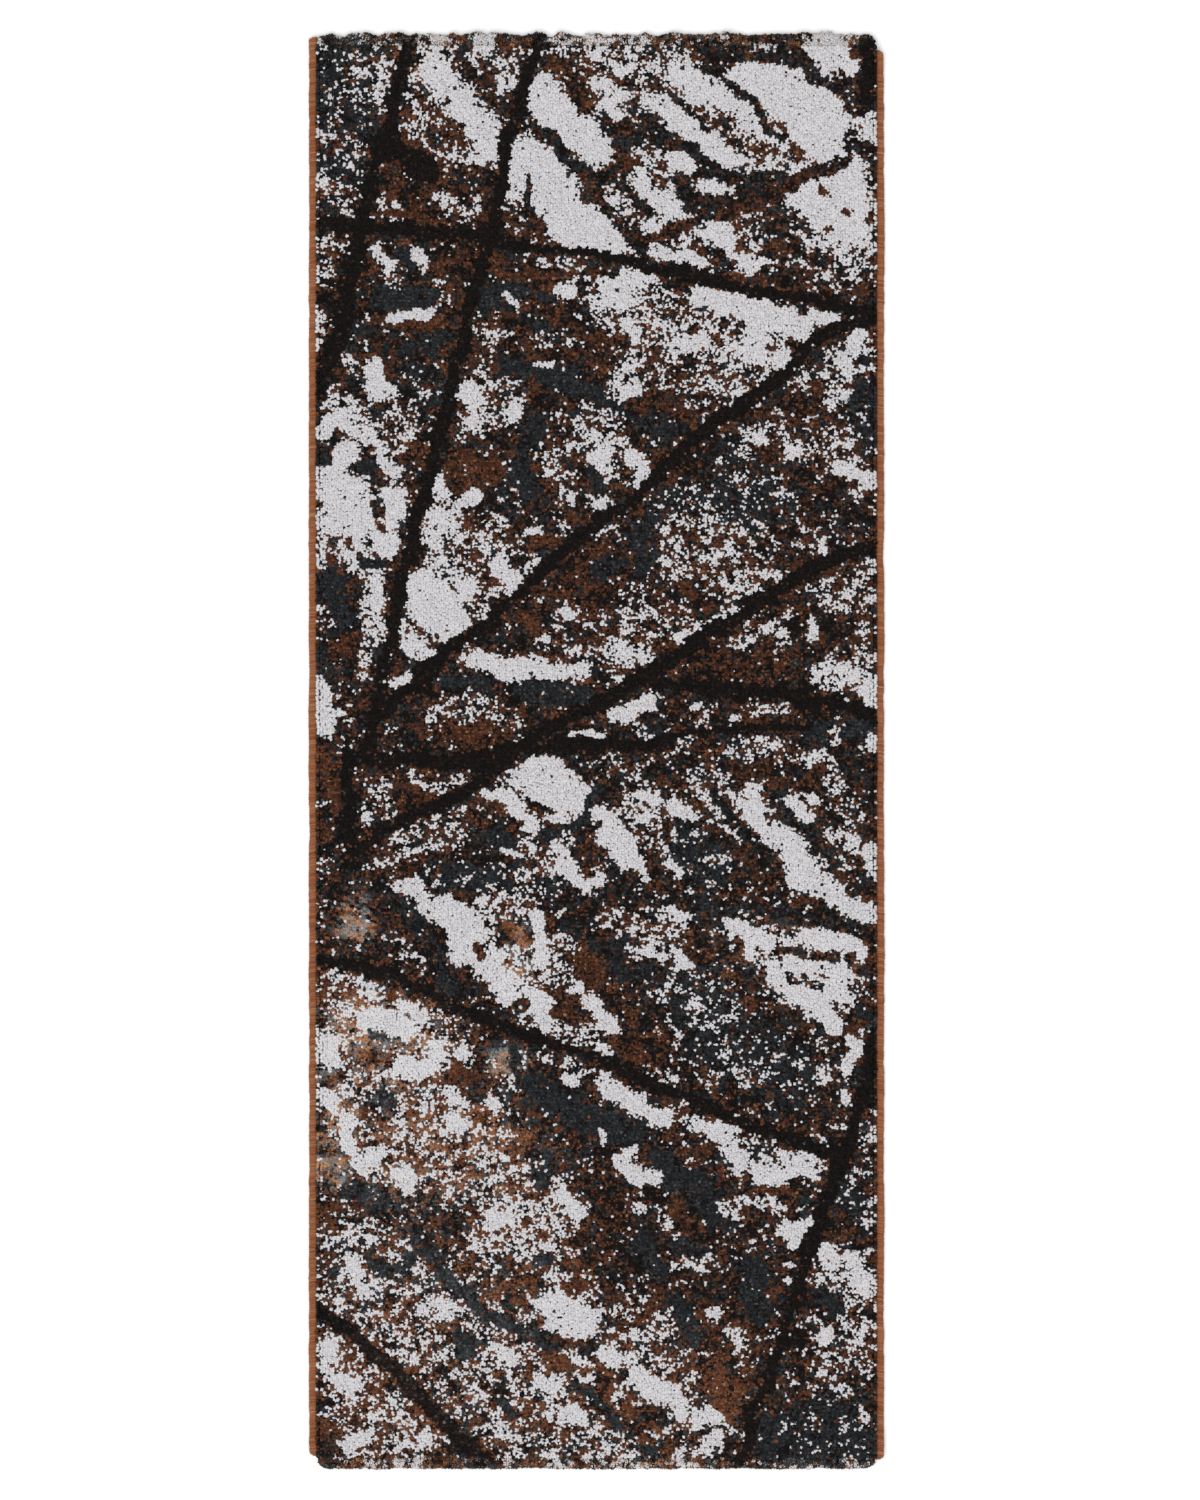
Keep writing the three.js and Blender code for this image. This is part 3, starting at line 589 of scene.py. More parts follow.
    (Tint.SAND, [(52, -240, -525, -180, -560, -130, -620, -80, -662), (30, -330, -530, -300, -570)]),
    (Tint.PEPPER, [(6, 385, -620, 382, -650)]),
    (Tint.MIXED, [(30, -200, -600, -150, -600), (12, -335, -540, -325, -550)]),
    (Tint.CREAM, [(8, -200, -510, -190, -520), (11, -270, -590, -260, -600), (10, -345, -516, -348, -548),
        (8, -330, -575, -305, -560), (8, -50, -610, -40, -630, -20, -640), (9, -150, -655, -120, -650)]),
    (Tint.SLATE, [(9, -66, -560, -76, -604),
        (16, -345, -605, -312, -616, -290, -636, -266, -656, -250, -680)]),
    (Tint.FROST, [(12, -32, -575, -15, -560)]),
    (Tint.CREAM, [(4, 5, -530, 10, -540), (8, 28, -570, 46, -580, 62, -590, 80, -590),
        (4, 40, -562, 50, -552)]),
    (Tint.UMBER, [(22, 30, -600, 20, -640)]),
    (Tint.PEPPER, [(6, 60, -610, 64, -640), (10, -85, -580, -90, -575)]),
    (Tint.MIXED, [(12, 90, -640, 100, -660)]),
    (Tint.BROWN, [(12, 112, -630, 122, -650)]),
    (Tint.UMBER, [(16, -385, -640, -360, -662)]),
    (Tint.FROST, [(12, -322, -650, -312, -656)]),
    (Tint.PEPPER, [(7, -350, -660, -330, -676, -290, -670)]),
    # The near end.
    (Tint.MIXED, [(80, -320, -720, -220, -800, -100, -880, -40, -930), (60, 60, -820, 80, -900)]),
    (Tint.CREAM, [(8, -345, -710, -335, -730), (7, -326, -744, -320, -750), (9, -217, -770, -210, -774),
        (8, -130, -832, -118, -842), (8, -80, -878, -65, -880), (9, -38, -920, -20, -927)]),
    (Tint.SLATE, [(7, -366, -720, -362, -726), (12, -310, -702, -296, -720), (11, -270, -720, -260, -700),
        (13, -250, -680, -225, -705, -205, -735, -180, -750, -165, -770),
        (8, -150, -785, -110, -800, -75, -815), (16, -186, -818, -182, -832), (9, -130, -905, -120, -915),
        (10, -30, -885, -10, -890, 10, -910, 25, -930, 45, -945), (9, -75, -826, -55, -824),
        (8, 60, -965, 80, -975), (8, -86, -710, -70, -706), (5, -130, -725, -126, -727)]),
    (Tint.SAND, [(14, -50, -746, -20, -750, -8, -762)]),
    (Tint.PEPPER, [(12, -165, -685, -145, -682, -120, -690, -100, -700), (6, -160, -708, -140, -714),
        (9, -70, -732, -60, -726), (8, -70, -910, -62, -920)]),
    (Tint.CREAM, [(18, -65, -772, -36, -785, -14, -792)]),
    (Tint.BROWN, [(4, -75, -790, -73, -788), (10, -50, -856, 0, -850)]),
    (Tint.CREAM, [(5, -30, -845, -10, -850)]),
    (Tint.UMBER, [(10, 8, -845, 8, -888), (14, 60, -936, 90, -925, 42, -920)]),
    (Tint.PEPPER, [(14, 35, -850, 60, -870, 85, -890, 105, -900), (10, 110, -856, 92, -850)]),
    (Tint.CREAM, [(8, 5, -835, 22, -846), (10, 60, -870, 80, -886, 105, -902, 116, -918),
        (11, 140, -930, 160, -925), (9, 165, -955, 158, -972)]),
    (Tint.BROWN, [(26, 172, -880, 186, -905)]),
    (Tint.PEPPER, [(10, 156, -772, 166, -782), (9, 190, -800, 200, -825, 214, -834)]),
    (Tint.SLATE, [(20, 86, -715, 76, -696, 60, -690), (13, 110, -760, 125, -790, 140, -815),
        (12, 110, -685, 150, -690)]),
    (Tint.CREAM, [(4, 160, -697, 152, -702)]),
    (Tint.PEPPER, [(7, 110, -710, 136, -706, 146, -716)]),
    (Tint.SLATE, [(28, 220, -715, 218, -745, 228, -770)]),
    (Tint.SALTED, [(12, 200, -690, 240, -695)]),
    (Tint.BROWN, [(9, 244, -756, 248, -752)]),
    (Tint.CREAM, [(4, 265, -738, 267, -737), (4, 265, -713, 267, -712)]),
    (Tint.MIXED, [(40, 340, -740, 350, -820)]),
    (Tint.CREAM, [(11, 315, -696, 328, -708), (9, 355, -702, 366, -720, 376, -736, 381, -750),
        (7, 316, -812, 320, -820)]),
    (Tint.SLATE, [(12, 310, -760, 332, -768)]),
    (Tint.PEPPER, [(6, 345, -755, 350, -766), (8, 350, -800, 362, -806, 376, -796),
        (6, 310, -865, 326, -876, 336, -886, 346, -890)]),
    (Tint.FROST, [(40, 320, -930, 352, -960, 282, -960)]),
    (Tint.SLATE, [(14, 245, -935, 240, -975, 262, -960)]),
    (Tint.SAND, [(50, -350, -860, -320, -920, -280, -960)]),
    (Tint.PEPPER, [(5, 370, -916, 385, -935)]),
    (Tint.CREAM, [(9, -372, -830, -365, -840), (9, -366, -868, -350, -875),
        (9, -345, -965, -330, -955, -320, -945), (8, -240, -946, -236, -960)]),
    (Tint.BLACK, [(8, -372, -905, -366, -908), (5, -320, -935, -318, -937), (5, -290, -965, -286, -966)]),
    (Tint.PEPPER, [(9, -125, -975, -115, -978), (14, 20, -970, 60, -985), (16, 120, -980, 150, -975)]),
    # The long veins that part the pattern.
    (Tint.STORM, [(12, 0, -195, 100, -205, 200, -218, 300, -232, 392, -248)]),
    (Tint.BLACK, [(13, -262, 1000, -266, 950, -284, 890, -300, 840, -312, 790, -322, 740)]),
    (Tint.BLACK, [(17, -322, 740, -336, 690, -346, 630, -362, 570, -385, 500)]),
    (Tint.BLACK, [(13, -75, 1000, -92, 955, -105, 915, -118, 870, -128, 820, -136, 770, -142, 735, -152,
        700, -166, 665, -176, 635, -184, 570, -200, 515, -216, 455, -227, 400, -241, 350, -256, 300,
        -267, 250, -275, 200, -288, 150, -298, 100, -306, 50, -318, 5)]),
    (Tint.BLACK, [(13, -392, 732, -300, 730, -200, 718, -150, 714, -100, 702)]),
    (Tint.BLACK, [(9, -100, 702, -50, 700, 0, 693, 50, 680)]),
    (Tint.BLACK, [(11, 50, 680, 100, 668, 150, 656, 200, 643)]),
    (Tint.BLACK, [(14, 200, 643, 250, 634, 300, 628, 350, 613, 392, 605)]),
    (Tint.BLACK, [(13, 392, 600, 350, 592, 300, 567, 250, 521, 200, 482, 150, 448, 110, 412, 80, 378, 45,
        346, 5, 320, -40, 284, -88, 238, -125, 204, -160, 172, -195, 148, -230, 118, -267, 82, -300,
        50)]),
    (Tint.BLACK, [(14, 392, 287, 340, 272, 300, 253, 250, 224, 200, 188, 150, 163, 110, 130, 60, 105, 20,
        76, -30, 50, -80, 25, -110, 5, -150, -25)]),
    (Tint.BLACK, [(12, -150, -25, -180, -55, -228, -78, -265, -95, -300, -113, -342, -138)]),
    (Tint.BLACK, [(14, -300, -12, -200, -14, -120, 8, -20, 8, 60, 8, 100, 14)]),
    (Tint.BLACK, [(15, 60, 100, 150, 88, 250, 82, 320, 70, 392, 48)]),
    (Tint.BLACK, [(8, 100, 22, 180, 32, 300, 36)]),
    (Tint.BLACK, [(12, -392, -290, -320, -298, -275, -315, -208, -352, -130, -380, -50, -408, 33, -440,
        112, -476, 175, -502, 225, -523, 283, -541, 335, -562)]),
    (Tint.BLACK, [(14, 388, -395, 382, -430, 372, -485, 338, -568, 320, -615, 312, -658, 292, -690)]),
    (Tint.BLACK, [(11, 292, -690, 280, -740, 266, -795, 252, -835, 240, -875, 221, -915, 213, -958, 195,
        -985)]),
    (Tint.BLACK, [(15, -392, -775, -370, -784, -332, -815, -280, -862, -243, -900, -206, -938, -172,
        -970, -160, -990)]),
    # Flecks of cream that cross the veins.
    (Tint.CREAM, [(8, 20, 46, 46, 52, 70, 72), (3.5, -36, 18, -14, 24, 10, 20)]),
    (Tint.PEPPER, [(9, 144, 56, 155, 36), (7, 195, 50, 225, 60, 250, 56, 272, 62)]),
]

# Patches where the tufts are paler, from pale tips and from painted sheen where the pile lies differently and
# catches the light: middle x and y, half width, half length and how pale.
PALE_TIPS_AND_SHEEN: list[tuple[float, ...]] = [
    (-335, -235, 45, 55, 1.0), (-125, -430, 45, 32, 1.0), (-370, -585, 45, 40, 1.0),
    (-310, -410, 150, 110, 0.9),
    (-105, -285, 50, 75, 0.8), (-370, -500, 70, 80, 0.9), (-220, -560, 200, 130, 0.7),
    (-200, -800, 260, 260, 0.45),
    (60, -900, 240, 130, 0.35), (230, -280, 160, 80, 0.3),
]


@dataclass
class YarnChart:
    """The chart of the pattern: which of the yarns each tuft is made of, and how far pale tips and painted
    sheen pale it.

    Attributes:
        base: The tint that lies under every stroke.
        drift: How far the outlines wander, in millimetres.
        ragged: How far their edges are frayed, in millimetres.
        blotch: Size of the largest specks inside a stroke, in millimetres.
        mixing: How strongly the specks break up a stroke.
        stray: How strongly single tufts differ from their neighbours, against the specks.
        soft: The shares of a stroke's half width between which it fades out.
    """

    base: Tint = Tint.DARK
    drift: float = 2.0
    ragged: float = 2.5
    blotch: float = 12.0
    mixing: float = 0.42
    stray: float = 0.85
    soft: Point = (1.4, 0.6)

    def yarns_at(self, x: np.ndarray, y: np.ndarray) -> np.ndarray:
        """Choose the yarn of each tuft.

        Args:
            x: The tufts' places across the rug, in millimetres.
            y: Their places along it.

        Returns:
            The number of each tuft's yarn.
        """
        drawn_x = x + self.drift * FractalNoise(11, 30, 3, 0.75).at(x, y)
        drawn_y = y + self.drift * FractalNoise(12, 30, 3, 0.75).at(x, y)
        fray = self.ragged * FractalNoise(13, 14, 4, 0.95, (1.1, 0.9)).at(x, y)
        calls = np.repeat(self.base.calls, x.size, axis=1)
        for tint, strokes in DRAWING:
            for drawn_width, *places in strokes:
                half_width = drawn_width * tint.breadth
                path = list(zip(places[::2], places[1::2]))
                margin = half_width * self.soft[0] + 14
                low, high = np.min(path, axis=0) - margin, np.max(path, axis=0) + margin
                near = np.flatnonzero((x > low[0]) & (x < high[0]) & (y > low[1]) & (y < high[1]))
                away = distance_to(path, drawn_x[near], drawn_y[near])
                away = away + fray[near] * min(1.0, half_width / 10)
                cover = smooth_step(*self.soft, away / half_width)
                calls[:, near] += (tint.calls - calls[:, near]) * cover
        dice = np.random.default_rng(7)
        for yarn in Yarn:
            specks = FractalNoise(100 + yarn, self.blotch, 3, 1.0, (1.15, 0.9)).at(x, y)
            calls[yarn] += self.mixing * (specks + self.stray * dice.standard_normal(x.size))
        return calls.argmax(0)

    def paleness_at(self, x: np.ndarray, y: np.ndarray) -> np.ndarray:
        """Return how far the dark tufts are paled at each place, by pale tips and painted sheen, from 0 to 1.
        """
        tip_and_sheen_paling = np.zeros_like(x)
        for middle_x, middle_y, half_width, half_length, strength in PALE_TIPS_AND_SHEEN:
            away = np.hypot((x - middle_x) / half_width, (y - middle_y) / half_length)
            tip_and_sheen_paling = np.maximum(tip_and_sheen_paling, strength * smooth_step(1.2, 0.4, away))
        return tip_and_sheen_paling * np.clip(0.6 + 0.5 * FractalNoise(14, 16, 4, 0.9).at(x, y), 0, 1)


# --- finishes ------------------------------------------------------------------------------------------


@dataclass(frozen=True)
class YarnFinish:
    """Spun or heat-set yarn: matt and soft, each tuft a little lighter or darker than the next.

    Attributes:
        name: The material's name.
        deep: Colour of the darkest tufts.
        body: Colour of most tufts.
        light: Colour of the lightest tufts.
        paled: Colour of the palest tufts: pale tips, and painted sheen where the pile lies differently.
        fibre: Size of the fine streaks in the yarn, in millimetres.
        roughness: How matt the yarn is.
        sheen: How much light its loose fibres catch.
        gloss: How much it shines.
    """

    name: str
    deep: str
    body: str
    light: str
    paled: str
    fibre: float = 0.6
    roughness: float = 0.85
    sheen: float = 0.02
    gloss: float = 0.1

    def material(self) -> bpy.types.Material:
        """Build the material, or return it if it is there already."""
        if self.name in bpy.data.materials:
            return bpy.data.materials[self.name]
        material = bpy.data.materials.new(self.name)
        material.use_nodes = True
        tree = material.node_tree
        tree.nodes.clear()
        place = add_node(tree, "ShaderNodeTexCoord")
        tone = add_node(tree, "ShaderNodeAttribute", attribute_name="tone")
        fibre = add_node(
            tree, "ShaderNodeTexNoise",
            {
                "Vector": place.outputs["Object"], "Scale": 1 / (self.fibre * MM),
                "Detail": 2.0, "Roughness": 0.6
            },
        )
        streak = add_node(
            tree, "ShaderNodeMath", {0: fibre.outputs["Fac"], 1: 0.9, 2: tone.outputs["Fac"]},
            operation="MULTIPLY_ADD",
        )
        shift = add_node(tree, "ShaderNodeMath", {0: streak.outputs[0], 1: 0.45}, operation="SUBTRACT")
        shades = add_node(tree, "ShaderNodeValToRGB", {"Fac": shift.outputs[0]})
        ramp = shades.color_ramp
        # The palest end of the ramp gives the pale tips and the painted sheen of the sheen patches.
        ramp.elements[0].color, ramp.elements[1].color = linear(self.deep), linear(self.paled)
        ramp.elements.new(0.45).color = linear(self.body)
        ramp.elements.new(0.8).color = linear(self.light)
        relief = add_node(
            tree, "ShaderNodeBump",
            {"Strength": 0.8, "Distance": 0.3 * MM, "Height": fibre.outputs["Fac"]},
        )
        surface = add_node(
            tree, "ShaderNodeBsdfPrincipled",
            {
                "Base Color": shades.outputs["Color"], "Roughness": self.roughness, "IOR": 1.49,
                "Specular IOR Level": self.gloss, "Sheen Weight": self.sheen, "Sheen Roughness": 0.6,
                "Normal": relief.outputs["Normal"],
            },
        )
        add_node(tree, "ShaderNodeOutputMaterial", {"Surface": surface.outputs[0]})
        return material


@dataclass(frozen=True)
class WeaveFinish:
    """Plain-woven yarn: threads that pass over and under each other, in two near shades.

    Attributes:
        name: The material's name.
        along: Colour of the threads that run along the rug.
        across: Colour of the threads that run across it.
        pitch_x: Distance between the threads that run along, in millimetres.
        pitch_y: Distance between the threads that run across, in millimetres.
        depth: How far a thread stands above the next, in millimetres.
        roughness: How matt the yarn is.
    """

    name: str
    along: str
    across: str
    pitch_x: float
    pitch_y: float
    depth: float = 0.4
    roughness: float = 0.9

    def material(self) -> bpy.types.Material:
        """Build the material, or return it if it is there already."""
        if self.name in bpy.data.materials:
            return bpy.data.materials[self.name]
        material = bpy.data.materials.new(self.name)
        material.use_nodes = True
        tree = material.node_tree
        tree.nodes.clear()
        place = add_node(tree, "ShaderNodeTexCoord")
        apart = add_node(tree, "ShaderNodeSeparateXYZ", {0: place.outputs["Object"]})
        waves = []
        for axis, pitch in (("X", self.pitch_x), ("Y", self.pitch_y)):
            turn = add_node(
                tree, "ShaderNodeMath", {0: apart.outputs[axis], 1: math.pi / (pitch * MM)},
                operation="MULTIPLY"
            )
            waves.append(add_node(tree, "ShaderNodeMath", {0: turn.outputs[0]}, operation="SINE"))
        over = add_node(
            tree, "ShaderNodeMath", {0: waves[0].outputs[0], 1: waves[1].outputs[0]}, operation="MULTIPLY"
        )
        height = add_node(
            tree, "ShaderNodeMapRange",
            {"Value": over.outputs[0], "From Min": -0.8, "From Max": 0.8, "To Min": 0.0, "To Max": 1.0},
        )
        fuzz = add_node(
            tree, "ShaderNodeTexNoise",
            {"Vector": place.outputs["Object"], "Scale": 1 / (0.7 * MM), "Detail": 3.0},
        )
        threads = add_node(
            tree, "ShaderNodeMix",
            {0: height.outputs["Result"], 6: linear(self.along), 7: linear(self.across)}, data_type="RGBA",
        )
        darker = add_node(
            tree, "ShaderNodeMapRange",
            {"Value": fuzz.outputs["Fac"], "From Min": 0.3, "From Max": 0.7, "To Min": 0.72, "To Max": 1.08},
        )
        shade = add_node(
            tree, "ShaderNodeVectorMath", {0: threads.outputs[2], "Scale": darker.outputs["Result"]},
            operation="SCALE",
        )
        mound = add_node(
            tree, "ShaderNodeMath", {0: over.outputs[0]}, operation="ABSOLUTE"
        )
        rough = add_node(
            tree, "ShaderNodeMath", {0: fuzz.outputs["Fac"], 1: 0.5, 2: mound.outputs[0]},
            operation="MULTIPLY_ADD",
        )
        relief = add_node(
            tree, "ShaderNodeBump", {"Strength": 0.8, "Distance": self.depth * MM, "Height": rough.outputs[0]}
        )
        surface = add_node(
            tree, "ShaderNodeBsdfPrincipled",
            {
                "Base Color": shade.outputs[0], "Roughness": self.roughness, "Specular IOR Level": 0.2,
                "Sheen Weight": 0.1, "Sheen Roughness": 0.6, "Normal": relief.outputs["Normal"],
            },
        )
        add_node(tree, "ShaderNodeOutputMaterial", {"Surface": surface.outputs[0]})
        return material


# Heat-set polypropylene, cut: a dry, cold off-white with grey in its depths.
CREAM_PILE = YarnFinish("polypropylene pile yarn, off-white", "#adaaab", "#c9c7c9", "#d3d2d4", "#cbb3a2")
# The same yarn in rust brown: brown roots and a few tan tips.
RUST_PILE = YarnFinish("polypropylene pile yarn, rust brown", "#150b06", "#3c2216", "#774a31", "#b18667")
# The same yarn in slate: charcoal with a blue cast.
SLATE_PILE = YarnFinish("polypropylene pile yarn, slate", "#0a0b0d", "#1a1d20", "#393c3e", "#8d8b8b")
# The same yarn in brown black: the veins.
BLACK_PILE = YarnFinish("polypropylene pile yarn, brown black", "#040303", "#0b0807", "#231814", "#7f756f")
# Twisted polyester, wound tight: tan rust with a soft gleam on each wrap.
OVERCAST = YarnFinish(
    "polyester overcasting yarn, tan rust",
    "#5a2f1a", "#8e5332", "#ab7a58", "#bf9474", 0.5, 0.7, 0.05,
)
# Fine polyester thread: dark brown and nearly matt.
THREAD = YarnFinish(
    "polyester sewing thread, dark brown",
    "#20130c", "#3d2417", "#5b3a28", "#6b4a37", 0.3, 0.7, 0.1,
)
# Soft spun cotton, plied: off-white and dull.
COTTON_CORD = YarnFinish(
    "spun cotton cord, off-white",
    "#a59b86", "#cfc6b4", "#e4dccb", "#ece6d8", 0.5, 0.9, 0.1,
)
# Jute weft under a thin dried coat of latex: straw ribs with a pale skin over them.
SIZED_JUTE = WeaveFinish("jute and cotton weave, latex sized", "#d8ceb8", "#ad9468", 3.1, 2.65)
# The face of the same weave, packed with the feet of the tufts, painted dark as the shade deep in the pile
# between them.
GROUND_IN_PILE_SHADE = WeaveFinish("ground weave packed with yarn feet", "#2b211c", "#1c1613", 3.1, 2.65)
# Flat jute and cotton cloth without pile: straw and off-white checks.
HEADING_CLOTH = WeaveFinish("jute and cotton cloth, plain weave", "#c9bd9f", "#9c8256", 1.6, 1.3, 0.35)

PILE_FINISHES = {
    Yarn.CREAM: CREAM_PILE,
    Yarn.RUST: RUST_PILE,
    Yarn.SLATE: SLATE_PILE,
    Yarn.BLACK: BLACK_PILE,
}


# --- planting repeated shapes --------------------------------------------------------------------------


def planting_tree() -> bpy.types.NodeTree:
    """Build the Geometry Nodes tree that sets one shape on every point of a mesh.

    Each point carries an aim, the way the shape points, a reach and a stoutness, its length and width
    against the others, and a tone, how light it is. The shape is one unit high.

    Returns:
        The tree, shared by the tufts, the stitches and the wraps.
    """
    if "planting" in bpy.data.node_groups:
        return bpy.data.node_groups["planting"]
    tree = bpy.data.node_groups.new("planting", "GeometryNodeTree")
    face = tree.interface
    face.new_socket("Geometry", in_out="OUTPUT", socket_type="NodeSocketGeometry")
    for name, kind in (
        ("Points", "NodeSocketGeometry"), ("Shape", "NodeSocketObject"), ("Length", "NodeSocketFloat"),
        ("Girth", "NodeSocketFloat"), ("Lean", "NodeSocketFloat"), ("Spin", "NodeSocketFloat"),
        ("Unevenness", "NodeSocketFloat"), ("Seed", "NodeSocketInt"), ("Finish", "NodeSocketMaterial"),
    ):
        face.new_socket(name, in_out="INPUT", socket_type=kind)
    given = add_node(tree, "NodeGroupInput").outputs
    shape = add_node(tree, "GeometryNodeObjectInfo", {"Object": given["Shape"]})
    aim = add_node(tree, "GeometryNodeInputNamedAttribute", {"Name": "aim"}, data_type="FLOAT_VECTOR")
    reach = add_node(tree, "GeometryNodeInputNamedAttribute", {"Name": "reach"}, data_type="FLOAT")
    stout = add_node(tree, "GeometryNodeInputNamedAttribute", {"Name": "stout"}, data_type="FLOAT")
    upright = add_node(
        tree, "FunctionNodeAlignRotationToVector", {"Vector": aim.outputs["Attribute"]}, axis="Z"
    )
    back = add_node(tree, "ShaderNodeMath", {0: given["Lean"], 1: -1.0}, operation="MULTIPLY")
    spin_back = add_node(tree, "ShaderNodeMath", {0: given["Spin"], 1: -1.0}, operation="MULTIPLY")
    least = add_node(
        tree, "ShaderNodeCombineXYZ", {0: back.outputs[0], 1: back.outputs[0], 2: spin_back.outputs[0]}
    )
    most = add_node(tree, "ShaderNodeCombineXYZ", {0: given["Lean"], 1: given["Lean"], 2: given["Spin"]})
    sway = add_node(
        tree, "FunctionNodeRandomValue",
        {0: least.outputs[0], 1: most.outputs[0], "Seed": given["Seed"]}, data_type="FLOAT_VECTOR",
    )
    turned = add_node(
        tree, "FunctionNodeRotateRotation",
        {0: upright.outputs[0], 1: sway.outputs[0]}, rotation_space="LOCAL",
    )
    smaller = add_node(tree, "ShaderNodeMath", {0: 1.0, 1: given["Unevenness"]}, operation="SUBTRACT")
    larger = add_node(tree, "ShaderNodeMath", {0: 1.0, 1: given["Unevenness"]}, operation="ADD")
    odd_seed = add_node(tree, "ShaderNodeMath", {0: given["Seed"], 1: 1.0}, operation="ADD")
    uneven = add_node(
        tree, "FunctionNodeRandomValue",
        {2: smaller.outputs[0], 3: larger.outputs[0], "Seed": odd_seed.outputs[0]}, data_type="FLOAT",
    )
    even = add_node(
        tree, "ShaderNodeMath", {0: given["Girth"], 1: stout.outputs["Attribute"]}, operation="MULTIPLY"
    )
    girth = add_node(tree, "ShaderNodeMath", {0: even.outputs[0], 1: uneven.outputs[1]}, operation="MULTIPLY")
    length = add_node(
        tree, "ShaderNodeMath", {0: given["Length"], 1: reach.outputs["Attribute"]}, operation="MULTIPLY"
    )
    size = add_node(
        tree, "ShaderNodeCombineXYZ", {0: girth.outputs[0], 1: girth.outputs[0], 2: length.outputs[0]}
    )
    planted = add_node(
        tree, "GeometryNodeInstanceOnPoints",
        {
            "Points": given["Points"], "Instance": shape.outputs["Geometry"],
            "Rotation": turned.outputs[0], "Scale": size.outputs[0],
        },
    )
    real = add_node(tree, "GeometryNodeRealizeInstances", {"Geometry": planted.outputs[0]})
    dyed = add_node(
        tree, "GeometryNodeSetMaterial", {"Geometry": real.outputs[0], "Material": given["Finish"]}
    )
    add_node(tree, "NodeGroupOutput", {0: dyed.outputs[0]})
    return tree


@dataclass
class Planting:
    """One shape set many times over a set of points.

    Attributes:
        name: The name of the finished piece.
        points: Where each copy stands, in millimetres.
        aims: The way each copy points.
        reaches: The length of each copy against the others.
        tones: How light each copy is, about 0.5.
        stouts: The width of each copy against the others.
        length: The shape's length, in millimetres.
        girth: Its width, in millimetres.
        lean: The most it leans at random, in degrees.
        spin: The most it turns at random, in degrees.
        unevenness: How much its width varies, as a share.
        seed: Fixes the random numbers.
    """

    name: str
    points: np.ndarray
    aims: np.ndarray
    reaches: np.ndarray
    tones: np.ndarray
    stouts: np.ndarray
    length: float = 1000.0
    girth: float = 1000.0
    lean: float = 0.0
    spin: float = 0.0
    unevenness: float = 0.0
    seed: int = 1

    def plant(self, shape: bpy.types.Object, finish: bpy.types.Material) -> bpy.types.Object:
        """Set the shape on every point and keep the result as a plain mesh.

        Args:
            shape: The shape, one metre high in its own mesh.
            finish: The material of the finished piece.

        Returns:
            The finished piece.
        """
        piece = make_piece(self.name, self.points, [])
        keep_on_points(piece, "aim", self.aims)
        keep_on_points(piece, "reach", self.reaches)
        keep_on_points(piece, "tone", self.tones)
        keep_on_points(piece, "stout", self.stouts)
        tree = planting_tree()
        modifier = piece.modifiers.new("planting", "NODES")
        modifier.node_group = tree
        values = {
            "Shape": shape, "Length": self.length * MM, "Girth": self.girth * MM,
            "Lean": math.radians(self.lean), "Spin": math.radians(self.spin),
            "Unevenness": self.unevenness, "Seed": self.seed, "Finish": finish,
        }
        for socket in tree.interface.items_tree:
            if socket.name in values:
                modifier[socket.identifier] = values[socket.name]
        bpy.context.view_layer.update()
        depsgraph = bpy.context.evaluated_depsgraph_get()
        grown = bpy.data.meshes.new_from_object(
            piece.evaluated_get(depsgraph), preserve_all_data_layers=True, depsgraph=depsgraph
        )
        piece.modifiers.remove(modifier)
        bare, piece.data = piece.data, grown
        bpy.data.meshes.remove(bare)
        for spent in ("aim", "reach", "stout"):
            if spent in grown.attributes:
                grown.attributes.remove(grown.attributes[spent])
        grown.name = self.name
        return piece


def map_from_above(piece: bpy.types.Object) -> None:
    """Give a piece a flat map as seen from above, so that its colours bake evenly."""
    mesh = piece.data
    places = np.empty(len(mesh.vertices) * 3)
    mesh.vertices.foreach_get("co", places)
    flat = places.reshape(-1, 3)[:, :2]
    low, high = flat.min(0), flat.max(0)
    corners = np.empty(len(mesh.loops), dtype=int)
    mesh.loops.foreach_get("vertex_index", corners)
    layer = mesh.uv_layers.new(name="OFBake")
    layer.data.foreach_set("uv", ((flat - low) / (high - low))[corners].ravel())


def finish_piece(piece: bpy.types.Object, slot: str, *nodes: str) -> bpy.types.Object:
    """Fix a finished piece to the rug and hide the CAD nodes it stands for."""
    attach(piece, "root")
    if nodes:
        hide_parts(*nodes)
    triangles = sum(len(face.vertices) - 2 for face in piece.data.polygons)
    log.info("%s: %d triangles", piece.name, triangles)
    return piece


# --- the rug -------------------------------------------------------------------------------------------


class End(Enum):
    """The two short ends: the name used for each, and the way it faces along Y."""

    FAR = ("far", 1)
    NEAR = ("near", -1)

    @property
    def word(self) -> str:
        """The end's name."""
        return self.value[0]

    @property
    def sign(self) -> int:
        """Which way along Y the end faces."""
        return self.value[1]


class Side(Enum):
    """The two long edges: the name used for each, and the way it faces along X."""

    LEFT = ("left", -1)
    RIGHT = ("right", 1)

    @property
    def word(self) -> str:
        """The edge's name."""
        return self.value[0]

    @property
    def sign(self) -> int:
        """Which way along X the edge faces."""
        return self.value[1]


@dataclass
class Lie:
    """How the rug lies: flat on the floor, with a low step up onto the turned-under ends.

    Attributes:
        level_y: The ground is on the floor as far out as this.
        lifted_y: It is level again, on the turned-under cloth, from here outwards.
        lift: The height of the step.
    """

    level_y: float = 927.25
    lifted_y: float = 963.25
    lift: float = 2.25

    def at(self, y: np.ndarray) -> np.ndarray:
        """Return how far the rug is lifted at each place along it."""
        return self.lift * smooth_step(self.level_y, self.lifted_y, np.abs(y))


